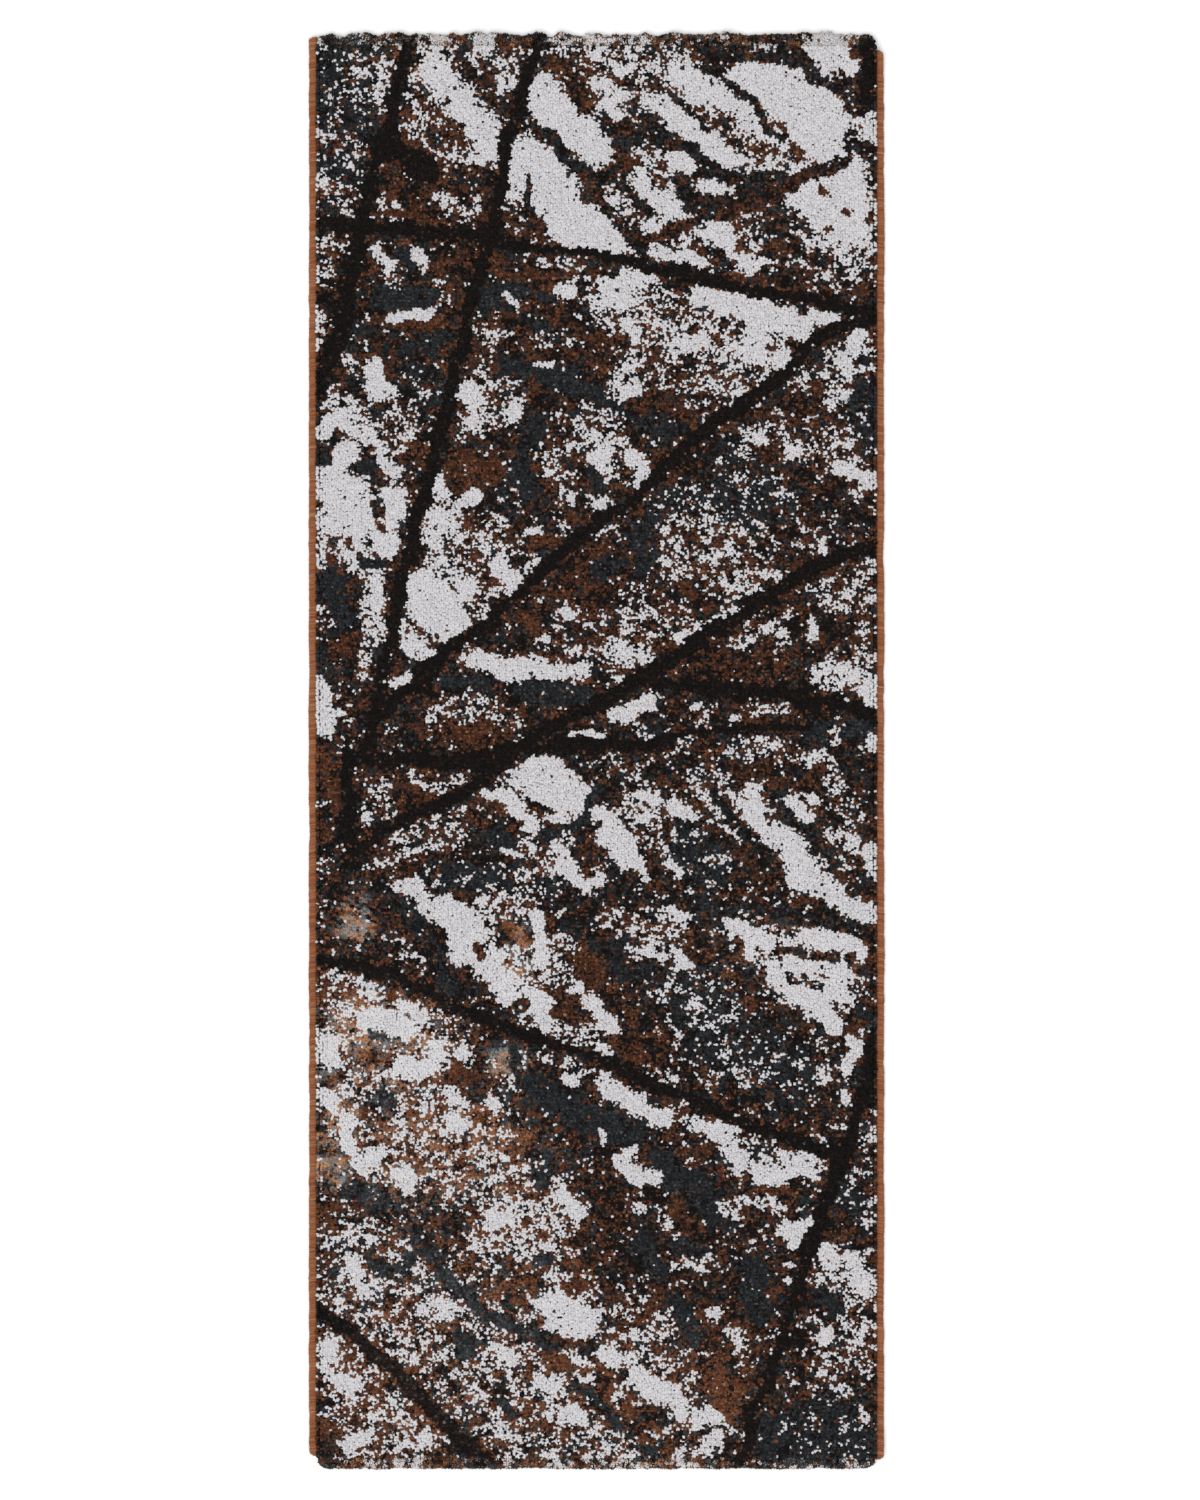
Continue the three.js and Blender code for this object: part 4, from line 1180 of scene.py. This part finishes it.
@dataclass
class Pile:
    """The cut pile: rows of tufts in four yarns, planted through the ground weave."""

    lie: Lie
    chart: YarnChart
    column_pitch: float = 3.1
    row_pitch: float = 2.65
    tuft_girth: float = 4.2
    tuft_depth: float = 0.92  # how deep a tuft is, as a share of its width
    bloom: float = 0.95  # how far up a tuft is widest, as a share of its height
    lean: float = 7.0
    corner_radius: float = 14.0
    edge_lean: float = 24.0  # how far the outermost tufts lean out over the serging, in degrees
    edge_band: float = 7.0  # how far in from the edge the tufts lean out
    end_y: float = 980.0  # how much lighter every second row is than the rows beside it
    paired_rows: float = 0.04  # how much lighter every second row is, as its yarn was cut by the same blade
    stretches: int = 4  # pieces along the rug for each yarn

    def tuft(self) -> bpy.types.Object:
        """Make one tuft: narrow at its root, widest under its cut tip, and closed."""
        wide, deep = 0.5, 0.5 * self.tuft_depth
        rim = [
            (wide, deep, self.bloom), (-wide, deep, self.bloom),
            (-wide, -deep, self.bloom), (wide, -deep, self.bloom)
        ]
        points = [(0, 0, 0), *rim, (0.12, 0.08, 1)]
        faces = [f for i in range(4) for f in ((5, i + 1, (i + 1) % 4 + 1), (0, (i + 1) % 4 + 1, i + 1))]
        return make_piece("tuft", np.array(points) / MM, faces)

    def roots(self) -> tuple[np.ndarray, np.ndarray, np.ndarray]:
        """Return where each tuft leaves the ground: x, y and z, in millimetres."""
        low, high = cad_box("pile_field")
        columns = int((high[0] - low[0] - self.column_pitch) / self.column_pitch) + 1
        rows = int(2 * self.end_y / self.row_pitch) + 1
        x = (np.arange(columns) - (columns - 1) / 2) * self.column_pitch
        y = (np.arange(rows) - (rows - 1) / 2) * self.row_pitch
        x, y = (a.ravel() for a in np.meshgrid(x, y))
        inner_x, inner_y = high[0] - self.corner_radius, high[1] - self.corner_radius
        past = np.hypot(np.maximum(np.abs(x) - inner_x, 0), np.maximum(np.abs(y) - inner_y, 0))
        x, y = x[past < self.corner_radius], y[past < self.corner_radius]
        dice = np.random.default_rng(21)
        x = x + dice.normal(0, 0.35, x.shape)
        y = y + dice.normal(0, 0.25, y.shape)
        return x, y, low[2] - 0.4 + self.lie.at(y)

    def build(self) -> list[bpy.types.Object]:
        """Plant the whole field.

        Returns:
            One piece for each yarn and stretch of the rug.
        """
        low, high = cad_box("pile_field")
        x, y, z = self.roots()
        yarns = self.chart.yarns_at(x, y)
        dice = np.random.default_rng(22)
        tones = np.clip(dice.normal(0.47, 0.12, x.shape), 0.02, 0.8)
        # Pale tips and painted sheen raise the tufts' tone, the cream ones half as much.
        tip_and_sheen_paling = self.chart.paleness_at(x, y) * np.where(yarns == Yarn.CREAM, 0.5, 1.0)
        tones = tones + self.paired_rows * np.sin(np.pi * y / self.row_pitch)
        tones = tones + (1 - tones) * tip_and_sheen_paling
        reaches = np.clip(1 + 0.03 * dice.standard_normal(x.shape), 0.85, 1.08)
        height = high[2] - low[2] - self.lie.lift + 0.4
        rise = smooth_step(high[0] - self.edge_band, high[0], np.abs(x))
        out = math.radians(self.edge_lean) * rise * np.sign(x)
        aims = np.stack([np.sin(out), 0 * x, np.cos(out)], axis=1)
        tuft = self.tuft()
        along = (y - low[1]) / (high[1] - low[1])
        stretch = np.clip((along * self.stretches).astype(int), 0, self.stretches - 1)
        pieces = []
        for yarn in Yarn:
            for number in range(self.stretches):
                here = (yarns == yarn) & (stretch == number)
                planting = Planting(
                    f"pile_{yarn.name.lower()}_{number + 1}", np.stack([x, y, z], axis=1)[here],
                    aims[here], reaches[here], tones[here], np.ones(here.sum()),
                    height, self.tuft_girth, self.lean, 180, 0.16, 31 + yarn,
                )
                piece = planting.plant(tuft, PILE_FINISHES[yarn].material())
                map_from_above(piece)
                pieces.append(finish_piece(piece, f"pile_{yarn.name.lower()}", "pile_field"))
        bpy.data.objects.remove(tuft)
        return pieces


@dataclass
class EndRows:
    """The last rows of pile at one short end: looser tufts that fan out and over the fold.

    Attributes:
        end: Which short end it is.
        lie: How the rug lies.
        chart: Which yarn each tuft is made of.
        cut: How far the strands stop short of the rug's full length.
        clumps: How unevenly they stop, clump by clump.
        rounding: How far the left and the right corner are rounded.
        start_y: Where the field of even tufts stops.
        fold_rows: Rows of tufts round the fold.
        tuft_strands: Strands in a tuft.
        most_lean: The most a tuft leans out, in degrees; more would put its strands through the floor.
    """

    end: End
    lie: Lie
    chart: YarnChart
    cut: float
    clumps: float
    rounding: Point
    start_y: float = 981.0
    column_pitch: float = 3.1
    row_pitch: float = 2.65
    fold_rows: int = 5
    tuft_strands: int = 4
    tuft_girth: float = 5.4
    most_lean: float = 64.0

    def tuft(self) -> bpy.types.Object:
        """Make one tuft of separate strands that part towards their tips."""
        dice = np.random.default_rng(41)
        points: list[Any] = []
        faces: list[list[int]] = []
        for strand in range(self.tuft_strands):
            turn = 2 * math.pi * (strand + dice.uniform(-0.3, 0.3)) / self.tuft_strands
            tip = np.array([0.46 * math.cos(turn), 0.46 * math.sin(turn), dice.uniform(0.78, 1.0)])
            start = len(points)
            for share, width in ((0.0, 0.2), (0.72, 0.34)):
                middle = tip * share
                for corner in range(3):
                    a = turn + corner * 2 * math.pi / 3
                    points.append(
                        (middle[0] + width * math.cos(a), middle[1] + width * math.sin(a), middle[2])
                    )
            points.append(tuple(tip))
            faces.append([start + 2, start + 1, start])
            for i in range(3):
                j = (i + 1) % 3
                faces.append([start + i, start + j, start + 3 + j, start + 3 + i])
                faces.append([start + 3 + i, start + 3 + j, start + 6])
        return make_piece("end tuft", np.array(points) / MM, faces)

    def build(self) -> list[bpy.types.Object]:
        """Plant the rows up to the fold and round it.

        Returns:
            One piece for each yarn.
        """
        node = f"pile_end_rows_{self.end.word}"
        low, high = cad_box(node)
        fold_low, fold_high = cad_box(f"heading_{self.end.word}")
        radius = (fold_high[2] - fold_low[2]) / 2
        reach = high[1] - low[1] - radius
        fold = max(abs(low[1]), abs(high[1])) - reach - radius
        dice = np.random.default_rng(51 + self.end.sign)
        columns = int((high[0] - low[0] - self.column_pitch) / self.column_pitch) + 1
        across = (np.arange(columns) - (columns - 1) / 2) * self.column_pitch
        level = np.arange(self.start_y, fold, self.row_pitch)
        row_y = np.concatenate([level, np.full(self.fold_rows, fold)])
        leans = [np.linspace(8, 26, len(level)), np.linspace(28, 66, self.fold_rows)]
        x, lean = (a.ravel() for a in np.meshgrid(across, np.radians(np.concatenate(leans))))
        y = np.repeat(row_y, columns)
        x = x + dice.normal(0, 0.6, x.shape)
        lean = np.clip(lean + dice.normal(0, 0.1, x.shape), 0, math.radians(self.most_lean))
        out = np.where(y >= fold, np.sin(lean), 0.0)
        clump = FractalNoise(55 + self.end.sign, 22, 3, 0.9).at(x, 0 * x)
        corner_radius = np.where(x < 0, *self.rounding)
        corner = np.maximum(np.abs(x) - (high[0] - corner_radius), 0)
        short = corner_radius - np.sqrt(np.maximum(corner_radius**2 - corner**2, 0))
        length = reach + 3.6 - self.cut + self.clumps * clump - 0.6 * short
        length = np.where(y >= fold, length, high[2] - fold_high[2] + 0.4)
        length = np.maximum(length * dice.normal(1, 0.09, x.shape), 3)
        y = y + radius * out - 0.5 * short
        z = np.where(out > 0, fold_low[2] + radius + radius * np.cos(lean), fold_high[2] - 0.2)
        aims = np.stack([dice.normal(0, 0.13, x.shape), self.end.sign * np.sin(lean), np.cos(lean)], axis=1)
        y = y * self.end.sign
        chart_y = np.clip(y + aims[:, 1] * 6, -998, 998)
        yarns = self.chart.yarns_at(x, chart_y)
        # The end rows' tufts run lighter than the field's: partly pale tips, partly painted light against the
        # shade among their leaning strands.
        tones = np.clip(dice.normal(0.68, 0.16, x.shape), 0.02, 1.0)
        tuft = self.tuft()
        pieces = []
        for yarn in Yarn:
            here = yarns == yarn
            planting = Planting(
                f"end_rows_{self.end.word}_{yarn.name.lower()}",
                np.stack([x, y, z], axis=1)[here], aims[here],
                length[here], tones[here], np.ones(here.sum()), 1.0, self.tuft_girth, 7, 180, 0.2, 61 + yarn,
            )
            piece = planting.plant(tuft, PILE_FINISHES[yarn].material())
            map_from_above(piece)
            pieces.append(finish_piece(piece, f"pile_{yarn.name.lower()}", node))
        bpy.data.objects.remove(tuft)
        return pieces


@dataclass
class GroundCloth:
    """The ground weave, sized with latex: ribs of weft across its underside."""

    lie: Lie
    rib_pitch: float = 2.65
    rib_height: float = 0.35
    columns: int = 8

    def build(self) -> bpy.types.Object:
        """Make the cloth as one closed sheet."""
        low, high = cad_box("weft_upper")
        floor_low, _ = cad_box("back_size")
        rows = int((high[1] - low[1]) / (self.rib_pitch / 2)) + 1
        y = np.linspace(low[1], high[1], rows)
        x = np.linspace(low[0], high[0], self.columns)
        gx, gy = np.meshgrid(x, y)
        lift = self.lie.at(gy)
        rib = np.where(np.arange(rows) % 2, self.rib_height, 0.0)[:, None]
        rib[0], rib[-1] = 0, 0
        wave = 0.12 * FractalNoise(71, 60, 3, 0.7).at(gx, gy)
        under = floor_low[2] + 0.12 + rib + lift + np.abs(wave) * 0.4
        top = high[2] - self.lie.lift - 0.15 + lift + 0 * gx
        points = np.concatenate([
            np.stack([gx, gy, top], axis=2).reshape(-1, 3), np.stack([gx, gy, under], axis=2).reshape(-1, 3)
        ])
        count = rows * self.columns
        faces = grid_faces(rows, self.columns)
        faces += [f[::-1] for f in grid_faces(rows, self.columns, count)]
        rim = [i for i in range(self.columns)]
        rim += [r * self.columns + self.columns - 1 for r in range(1, rows)]
        rim += [(rows - 1) * self.columns + i for i in range(self.columns - 2, -1, -1)]
        rim += [r * self.columns for r in range(rows - 2, 0, -1)]
        faces += [[b, a, a + count, b + count] for a, b in zip(rim, rim[1:] + rim[:1])]
        piece = make_piece("ground_cloth", points, faces, smooth=False)
        piece.data.materials.append(SIZED_JUTE.material())
        piece.data.materials.append(GROUND_IN_PILE_SHADE.material())
        # The top faces lie under the pile and take the weave painted dark as its shade.
        for face in piece.data.polygons[: (rows - 1) * (self.columns - 1)]:
            face.material_index = 1
        return finish_piece(piece, "ground_jute", "back_size", "weft_lower", "stuffer_warp", "weft_upper")


@dataclass
class Serging:
    """One overcast long edge: a yarn wound round and round it, and the needle thread beside it.

    Attributes:
        side: Which long edge it is.
        lie: How the rug lies.
        stops: How far along Y the wraps go, at the near and the far end.
        corners: How far from each stop the wraps start to tuck in.
    """

    side: Side
    lie: Lie
    stops: Point
    corners: Point = (5.0, 5.0)
    wrap_pitch: float = 2.25
    yarn_width: float = 2.9
    yarn_thickness: float = 1.25
    slant: float = 2.4  # how far along the edge a wrap travels as it crosses it
    waver: float = 0.4
    stitch_pitch: float = 6.5
    stitch_length: float = 4.6
    stitch_thickness: float = 1.1
    core_inset: float = 4.0  # how far inside the last wraps the selvedge and the cord end
    core_height: float = 3.0  # the height of their middle
    strip_width: float = 7.0
    strip_thickness: float = 2.0
    cord_out: float = 9.4  # how far out from the inner side of the wraps the cord's middle is
    cord_twist: float = 11.0  # how far along the cord each ply takes for one turn
    ply_radius: float = 0.62

    def wrap(self) -> bpy.types.Object:
        """Make one wrap: a flattened yarn that goes round the edge from the underside to the top."""
        low, high = cad_box(f"serging_{self.side.word}")
        width, height = high[0] - low[0], high[2] - low[2] - self.lie.lift
        middle, r = height / 2, (height - self.yarn_thickness) / 2
        turns = np.radians(np.linspace(-90, 90, 7))
        bend = [
            (width - self.yarn_thickness / 2 - r + r * math.cos(t), middle + r * math.sin(t)) for t in turns
        ]
        path = [(0.3, middle - 0.9), (1.2, middle - r), *bend,
                (5.0, middle + r + 0.1), (1.2, middle + r - 0.2),
                (0.3, middle + 0.6)]
        steps = np.linspace(-1, 1, len(path)) * self.slant
        points = []
        for i, ((u, w), step) in enumerate(zip(path, steps)):
            before, after = np.array(path[max(i - 1, 0)]), np.array(path[min(i + 1, len(path) - 1)])
            along = (after - before) / np.linalg.norm(after - before)
            out = np.array([along[1], -along[0]])
            for across, up in ((-0.5, 0), (0, 0.5), (0.5, 0), (0, -0.5)):
                spot = np.array([u, w]) + out * up * self.yarn_thickness
                points.append((spot[0], step + across * self.yarn_width, spot[1]))
        faces = grid_faces(len(path), 4, close_rows=True)
        last = (len(path) - 1) * 4
        faces += [[3, 2, 1, 0], [last, last + 1, last + 2, last + 3]]
        points = np.array(points)
        if self.side is Side.LEFT:
            points[:, 0] *= -1
            faces = [f[::-1] for f in faces]
        return make_piece("wrap", points / MM, faces)

    def build(self) -> list[bpy.types.Object]:
        """Wind the yarn along the whole edge and sew it down.

        Returns:
            The serging and the needle thread.
        """
        low, high = cad_box(f"serging_{self.side.word}")
        inner = low[0] if self.side is Side.RIGHT else high[0]
        margin = self.slant + self.yarn_width / 2
        y = np.arange(self.stops[0] + margin, self.stops[1] - margin, self.wrap_pitch)
        dice = np.random.default_rng(81 + self.side.sign)
        x = inner + self.waver * FractalNoise(91 + self.side.sign, 40, 3, 0.8).at(y, 0 * y)
        x = x + dice.normal(0, 0.1, y.shape)
        tuck = np.ones_like(y)
        for stop, corner in zip(self.stops, self.corners):
            near = np.clip((corner + margin - np.abs(y - stop)) / corner, 0, 1)
            tuck = tuck - 0.38 * (1 - np.sqrt(1 - near**2))
        points = np.stack([x, y + dice.normal(0, 0.12, y.shape), self.lie.at(y)], axis=1)
        up = np.tile((0.0, 0.0, 1.0), (len(y), 1))
        tones = np.clip(dice.normal(0.5, 0.09, y.shape), 0, 1)
        wrap = self.wrap()
        planting = Planting(
            f"serged_edge_{self.side.word}", points, up, np.ones(len(y)), tones, tuck,
            1, 1, 0, 0, 0.015, 3,
        )
        edge = planting.plant(wrap, OVERCAST.material())
        bpy.data.objects.remove(wrap)
        finish_piece(edge, "serging_yarn", f"serging_{self.side.word}")
        return [edge, self.sew(inner, high[2] - self.lie.lift), self.lay_strip(inner), self.lay_cord(inner)]

    def lay_strip(self, inner: float) -> bpy.types.Object:
        """Lay the bare selvedge, a flat strip of the ground weave, inside the wraps.

        Args:
            inner: Where the serging starts, across the rug.

        Returns:
            The strip, one closed ribbon.
        """
        y = np.linspace(self.stops[0] + self.core_inset, self.stops[1] - self.core_inset, 320)
        near, far = sorted((inner, inner + self.side.sign * self.strip_width))
        middle = self.core_height + self.lie.at(y)
        half = self.strip_thickness / 2 + 0.15 * (np.arange(len(y)) % 2)
        corners = [(near, middle - half), (far, middle - half), (far, middle + half), (near, middle + half)]
        rails = [np.stack([np.full_like(y, cx), y, z], axis=1) for cx, z in corners]
        points = np.stack(rails, axis=1).reshape(-1, 3)
        last = (len(y) - 1) * 4
        faces = [f[::-1] for f in grid_faces(len(y), 4, close_rows=True)]
        faces += [[0, 1, 2, 3], [last + 3, last + 2, last + 1, last]]
        strip = make_piece(f"selvedge_strip_{self.side.word}", points, faces, smooth=False)
        strip.data.materials.append(HEADING_CLOTH.material())
        return finish_piece(strip, "heading_cloth", f"selvedge_{self.side.word}")

    def lay_cord(self, inner: float) -> bpy.types.Object:
        """Lay the filler cord, three plies twisted together, in the outer bend of the wraps.

        Args:
            inner: Where the serging starts, across the rug.

        Returns:
            The cord.
        """
        y = np.arange(self.stops[0] + self.core_inset, self.stops[1] - self.core_inset, 3.5)
        middle_x = inner + self.side.sign * self.cord_out
        sides = 6
        points, faces = [], []
        for ply in range(3):
            turn = 2 * math.pi * (y / self.cord_twist + ply / 3)
            ply_x = middle_x + self.ply_radius * np.cos(turn)
            ply_z = self.core_height + self.lie.at(y) + self.ply_radius * np.sin(turn)
            around = np.linspace(0, 2 * math.pi, sides, False)
            gy, ga = np.meshgrid(y, around, indexing="ij")
            ring_x = ply_x[:, None] + self.ply_radius * np.cos(ga)
            ring_z = ply_z[:, None] + self.ply_radius * np.sin(ga)
            start = ply * len(y) * sides
            points.append(np.stack([ring_x, gy, ring_z], axis=2).reshape(-1, 3))
            faces += [f[::-1] for f in grid_faces(len(y), sides, start, close_rows=True)]
            last = start + (len(y) - 1) * sides
            faces += [[start + i for i in range(sides)], [last + i for i in range(sides)][::-1]]
        cord = make_piece(f"filler_cord_{self.side.word}", np.concatenate(points), faces)
        cord.data.materials.append(COTTON_CORD.material())
        return finish_piece(cord, "ground_cotton", f"edge_cord_{self.side.word}")

    def sew(self, inner: float, height: float) -> bpy.types.Object:
        """Sew the needle thread along the inner side of the wraps.

        Args:
            inner: Where the serging starts, across the rug.
            height: The serging's thickness.

        Returns:
            The needle thread.
        """
        dice = np.random.default_rng(95 + self.side.sign)
        y = np.arange(self.stops[0] + 6, self.stops[1] - 6, self.stitch_pitch)
        y = y + dice.normal(0, 0.4, y.shape)
        x = inner + self.side.sign * (2.0 + dice.normal(0, 0.2, y.shape))
        points = np.stack([x, y, height - 0.25 + self.lie.at(y)], axis=1)
        aims = np.stack([dice.normal(0.12, 0.05, y.shape), np.ones_like(y), 0 * y], axis=1)
        stitch = stitch_shape()
        planting = Planting(
            f"needle_thread_{self.side.word}_stitches", points, aims, np.ones(len(y)),
            np.clip(dice.normal(0.4, 0.15, y.shape), 0, 1), np.ones(len(y)),
            self.stitch_length, self.stitch_thickness, 2, 180, 0.08, 4,
        )
        thread = planting.plant(stitch, THREAD.material())
        bpy.data.objects.remove(stitch)
        return finish_piece(thread, "sewing_thread", f"needle_thread_{self.side.word}")


def stitch_shape() -> bpy.types.Object:
    """Make one stitch, a short thread with rounded ends, standing on its end."""
    rings = ((0.02, 0.22), (0.14, 0.5), (0.5, 0.5), (0.86, 0.5), (0.98, 0.22))
    points = [
        (r * math.cos(a), r * math.sin(a), h) for h, r in rings for a in np.linspace(0, 2 * math.pi, 5, False)
    ]
    faces = grid_faces(len(rings), 5, close_rows=True)
    faces += [[4, 3, 2, 1, 0], [20, 21, 22, 23, 24]]
    return make_piece("stitch", np.array(points) / MM, faces)


@dataclass
class TurnedHeading:
    """The pile-free cloth at one short end, folded under, with its raw edge and the seam that holds it."""

    end: End
    thickness: float = 1.7
    columns: int = 120
    side_inset: float = 17.0  # how much narrower the cloth is at the fold
    fray_length: float = 5.0
    stitch_pitch: float = 4.2
    stitch_length: float = 3.2
    skin: float = 0.25  # how far the cloth keeps inside its box
    raw_setback: float = 0.4
    fray_pitch: float = 2.4
    seam_setback: float = 3.2  # from the raw edge to the seam
    seam_height: float = 0.45  # of the seam's middle, over the cloth's underside

    def build(self) -> list[bpy.types.Object]:
        """Fold the cloth, fray its raw edge and sew it down.

        Returns:
            The cloth, its frayed yarn ends and the seam.
        """
        low, high = cad_box(f"heading_{self.end.word}")
        radius = (high[2] - low[2]) / 2
        reach = max(abs(low[1]), abs(high[1]))
        fold = reach - radius
        raw = min(abs(low[1]), abs(high[1]))
        outline = [
            (raw + self.raw_setback, low[2] + self.skin),
            *((raw + (fold - raw) * s, low[2] + self.skin) for s in (0.2, 0.4, 0.6, 0.8))
        ]
        turns = np.radians(np.linspace(-90, 90, 9))
        middle = low[2] + radius
        outline += [
            (fold + (radius - self.skin) * math.cos(a), middle + (radius - self.skin) * math.sin(a))
            for a in turns
        ]
        inside = radius - self.skin - self.thickness
        outline += [(fold + inside * math.cos(a), middle + inside * math.sin(a)) for a in turns[::-1]]
        outline += [
            (raw + (fold - raw) * s, low[2] + self.skin + self.thickness) for s in (0.8, 0.6, 0.4, 0.2)
        ]
        outline += [(raw + self.raw_setback, low[2] + self.skin + self.thickness)]
        section = np.array(outline)
        x = np.linspace(low[0], high[0], self.columns)
        u, y = np.meshgrid(np.arange(len(section)), x)
        gy, gz = section[u][..., 0], section[u][..., 1]
        ripple = 0.5 * FractalNoise(101 + self.end.sign, 22, 3, 0.8).at(y, 0 * y)
        gy = gy + ripple * smooth_step(fold, raw, gy)
        narrow = 1 - self.side_inset / high[0] * smooth_step(raw + 2, raw + 12, gy)
        points = np.stack([y * narrow, gy * self.end.sign, gz], axis=2).reshape(-1, 3)
        count = len(section)
        faces = grid_faces(self.columns, count, close_rows=True)
        faces += [list(range(count))[::-1], [(self.columns - 1) * count + i for i in range(count)]]
        if self.end is End.FAR:
            faces = [f[::-1] for f in faces]
        cloth = make_piece(f"turned_heading_{self.end.word}", points, faces)
        cloth.data.materials.append(HEADING_CLOTH.material())
        finish_piece(cloth, "heading_cloth", f"heading_{self.end.word}")
        return [cloth, self.fray(raw, high[0] - 2, low[2]), self.sew(raw, high[0] - 4, low[2])]

    def fray(self, raw: float, half_width: float, floor: float) -> bpy.types.Object:
        """Let the yarn ends of the raw edge stick out.

        Args:
            raw: How far out the raw edge is.
            half_width: Half the width of the cloth.
            floor: The height of the cloth's underside.

        Returns:
            The frayed yarn ends.
        """
        dice = np.random.default_rng(105 + self.end.sign)
        x = np.arange(-half_width, half_width, self.fray_pitch)
        points = np.stack([x, np.full_like(x, (raw + 1.5) * self.end.sign), floor + 1.1 + 0 * x], axis=1)
        aims = np.stack(
            [dice.normal(0, 0.35, x.shape), np.full_like(x, -self.end.sign), 0 * x - 0.03], axis=1
        )
        strand = stitch_shape()
        planting = Planting(
            f"frayed_edge_{self.end.word}", points, aims, dice.uniform(0.45, 1.1, x.shape),
            np.clip(dice.normal(0.5, 0.2, x.shape), 0, 1), np.ones(len(x)),
            self.fray_length, 0.8, 3, 180, 0.2, 5,
        )
        piece = planting.plant(strand, COTTON_CORD.material())
        bpy.data.objects.remove(strand)
        return finish_piece(piece, "heading_cloth", f"heading_{self.end.word}")

    def sew(self, raw: float, half_width: float, floor: float) -> bpy.types.Object:
        """Sew the heading down along its raw edge.

        Args:
            raw: How far out the raw edge is.
            half_width: Half the width of the seam.
            floor: The height of the cloth's underside.

        Returns:
            The seam.
        """
        dice = np.random.default_rng(108 + self.end.sign)
        x = np.arange(-half_width, half_width - self.stitch_pitch, self.stitch_pitch)
        y = (raw + self.seam_setback) * self.end.sign + dice.normal(0, 0.15, x.shape)
        points = np.stack([x, y, floor + self.seam_height + 0 * x], axis=1)
        aims = np.stack([np.ones_like(x), dice.normal(0, 0.04, x.shape), 0 * x], axis=1)
        stitch = stitch_shape()
        planting = Planting(
            f"hem_stitches_{self.end.word}", points, aims, np.ones(len(x)),
            np.clip(dice.normal(0.5, 0.15, x.shape), 0, 1), np.ones(len(x)),
            self.stitch_length, 0.6, 1, 180, 0.05, 6,
        )
        piece = planting.plant(stitch, THREAD.material())
        bpy.data.objects.remove(stitch)
        return finish_piece(piece, "sewing_thread", f"hem_seam_{self.end.word}")


@dataclass
class Studio:
    """A plain pale floor, soft light from overhead and a camera looking straight down."""

    frame_height: float = 2086.5  # millimetres of floor from the top of the picture to the bottom
    camera_height: float = 12000
    centre: Point = (4.9, 2.5)
    sensor: float = 36.0
    fill: float = 0.45  # light from all round
    overhead: float = 2.5
    light_spread: float = 70  # degrees, so that shadows are soft
    light_tilt: Point = (14, -10)  # degrees about X and Y
    floor_half: float = 40000
    floor_gap: float = 0.3  # how far the floor lies under the rug
    far_clip: float = 200  # metres, past the floor's edge

    def build(self) -> None:
        """Set up the floor, the lights and the camera."""
        self.lay_floor()
        self.light()
        self.place_camera()

    def lay_floor(self) -> None:
        """Lay a wide, flat, nearly white floor."""
        half, under = self.floor_half, -self.floor_gap
        corners = [(-half, -half, under), (half, -half, under), (half, half, under), (-half, half, under)]
        floor = make_piece("floor", corners, [[0, 1, 2, 3]])
        material = bpy.data.materials.new("matt white studio floor")
        material.use_nodes = True
        surface = material.node_tree.nodes["Principled BSDF"]
        surface.inputs["Base Color"].default_value = linear("#f6f6f6")
        surface.inputs["Roughness"].default_value = 0.95
        surface.inputs["Specular IOR Level"].default_value = 0.0
        floor.data.materials.append(material)

    def light(self) -> None:
        """Light the floor evenly, a little more from one side."""
        world = bpy.data.worlds.new("studio")
        bpy.context.scene.world = world
        world.use_nodes = True
        world.node_tree.nodes["Background"].inputs["Color"].default_value = (1, 1, 1, 1)
        world.node_tree.nodes["Background"].inputs["Strength"].default_value = self.fill
        data = bpy.data.lights.new("overhead light", "SUN")
        data.energy = self.overhead
        data.angle = math.radians(self.light_spread)
        lamp = bpy.data.objects.new("overhead light", data)
        lamp.rotation_euler = (math.radians(self.light_tilt[0]), math.radians(self.light_tilt[1]), 0)
        bpy.context.scene.collection.objects.link(lamp)
        bpy.context.scene.view_settings.view_transform = "Standard"

    def place_camera(self) -> None:
        """Hang the camera over the rug, far enough up that its sides don't show."""
        data = bpy.data.cameras.new("camera")
        data.sensor_width = self.sensor
        data.lens = self.sensor * self.camera_height / self.frame_height
        data.clip_end = self.far_clip
        camera = bpy.data.objects.new("camera", data)
        camera.location = (self.centre[0] * MM, self.centre[1] * MM, self.camera_height * MM)
        bpy.context.scene.collection.objects.link(camera)
        bpy.context.scene.camera = camera


def main() -> None:
    """Build the studio and the rug, piece by piece."""
    logging.basicConfig(level=logging.INFO, format="%(name)s: %(message)s")
    Studio().build()
    lie, chart = Lie(), YarnChart()
    ground = GroundCloth(lie).build()
    pieces = Pile(lie, chart).build()
    pieces += EndRows(End.FAR, lie, chart, 5.0, 2.4, (2.0, 15.0)).build()
    pieces += EndRows(End.NEAR, lie, chart, 6.0, 0.6, (14.0, 14.0)).build()
    for end in End:
        pieces += TurnedHeading(end).build()
    pieces += Serging(Side.LEFT, lie, (-981.0, 995.5), (6.0, 2.0)).build()
    pieces += Serging(Side.RIGHT, lie, (-986.0, 977.0), (7.0, 5.0)).build()


if __name__ == "__main__":
    main()
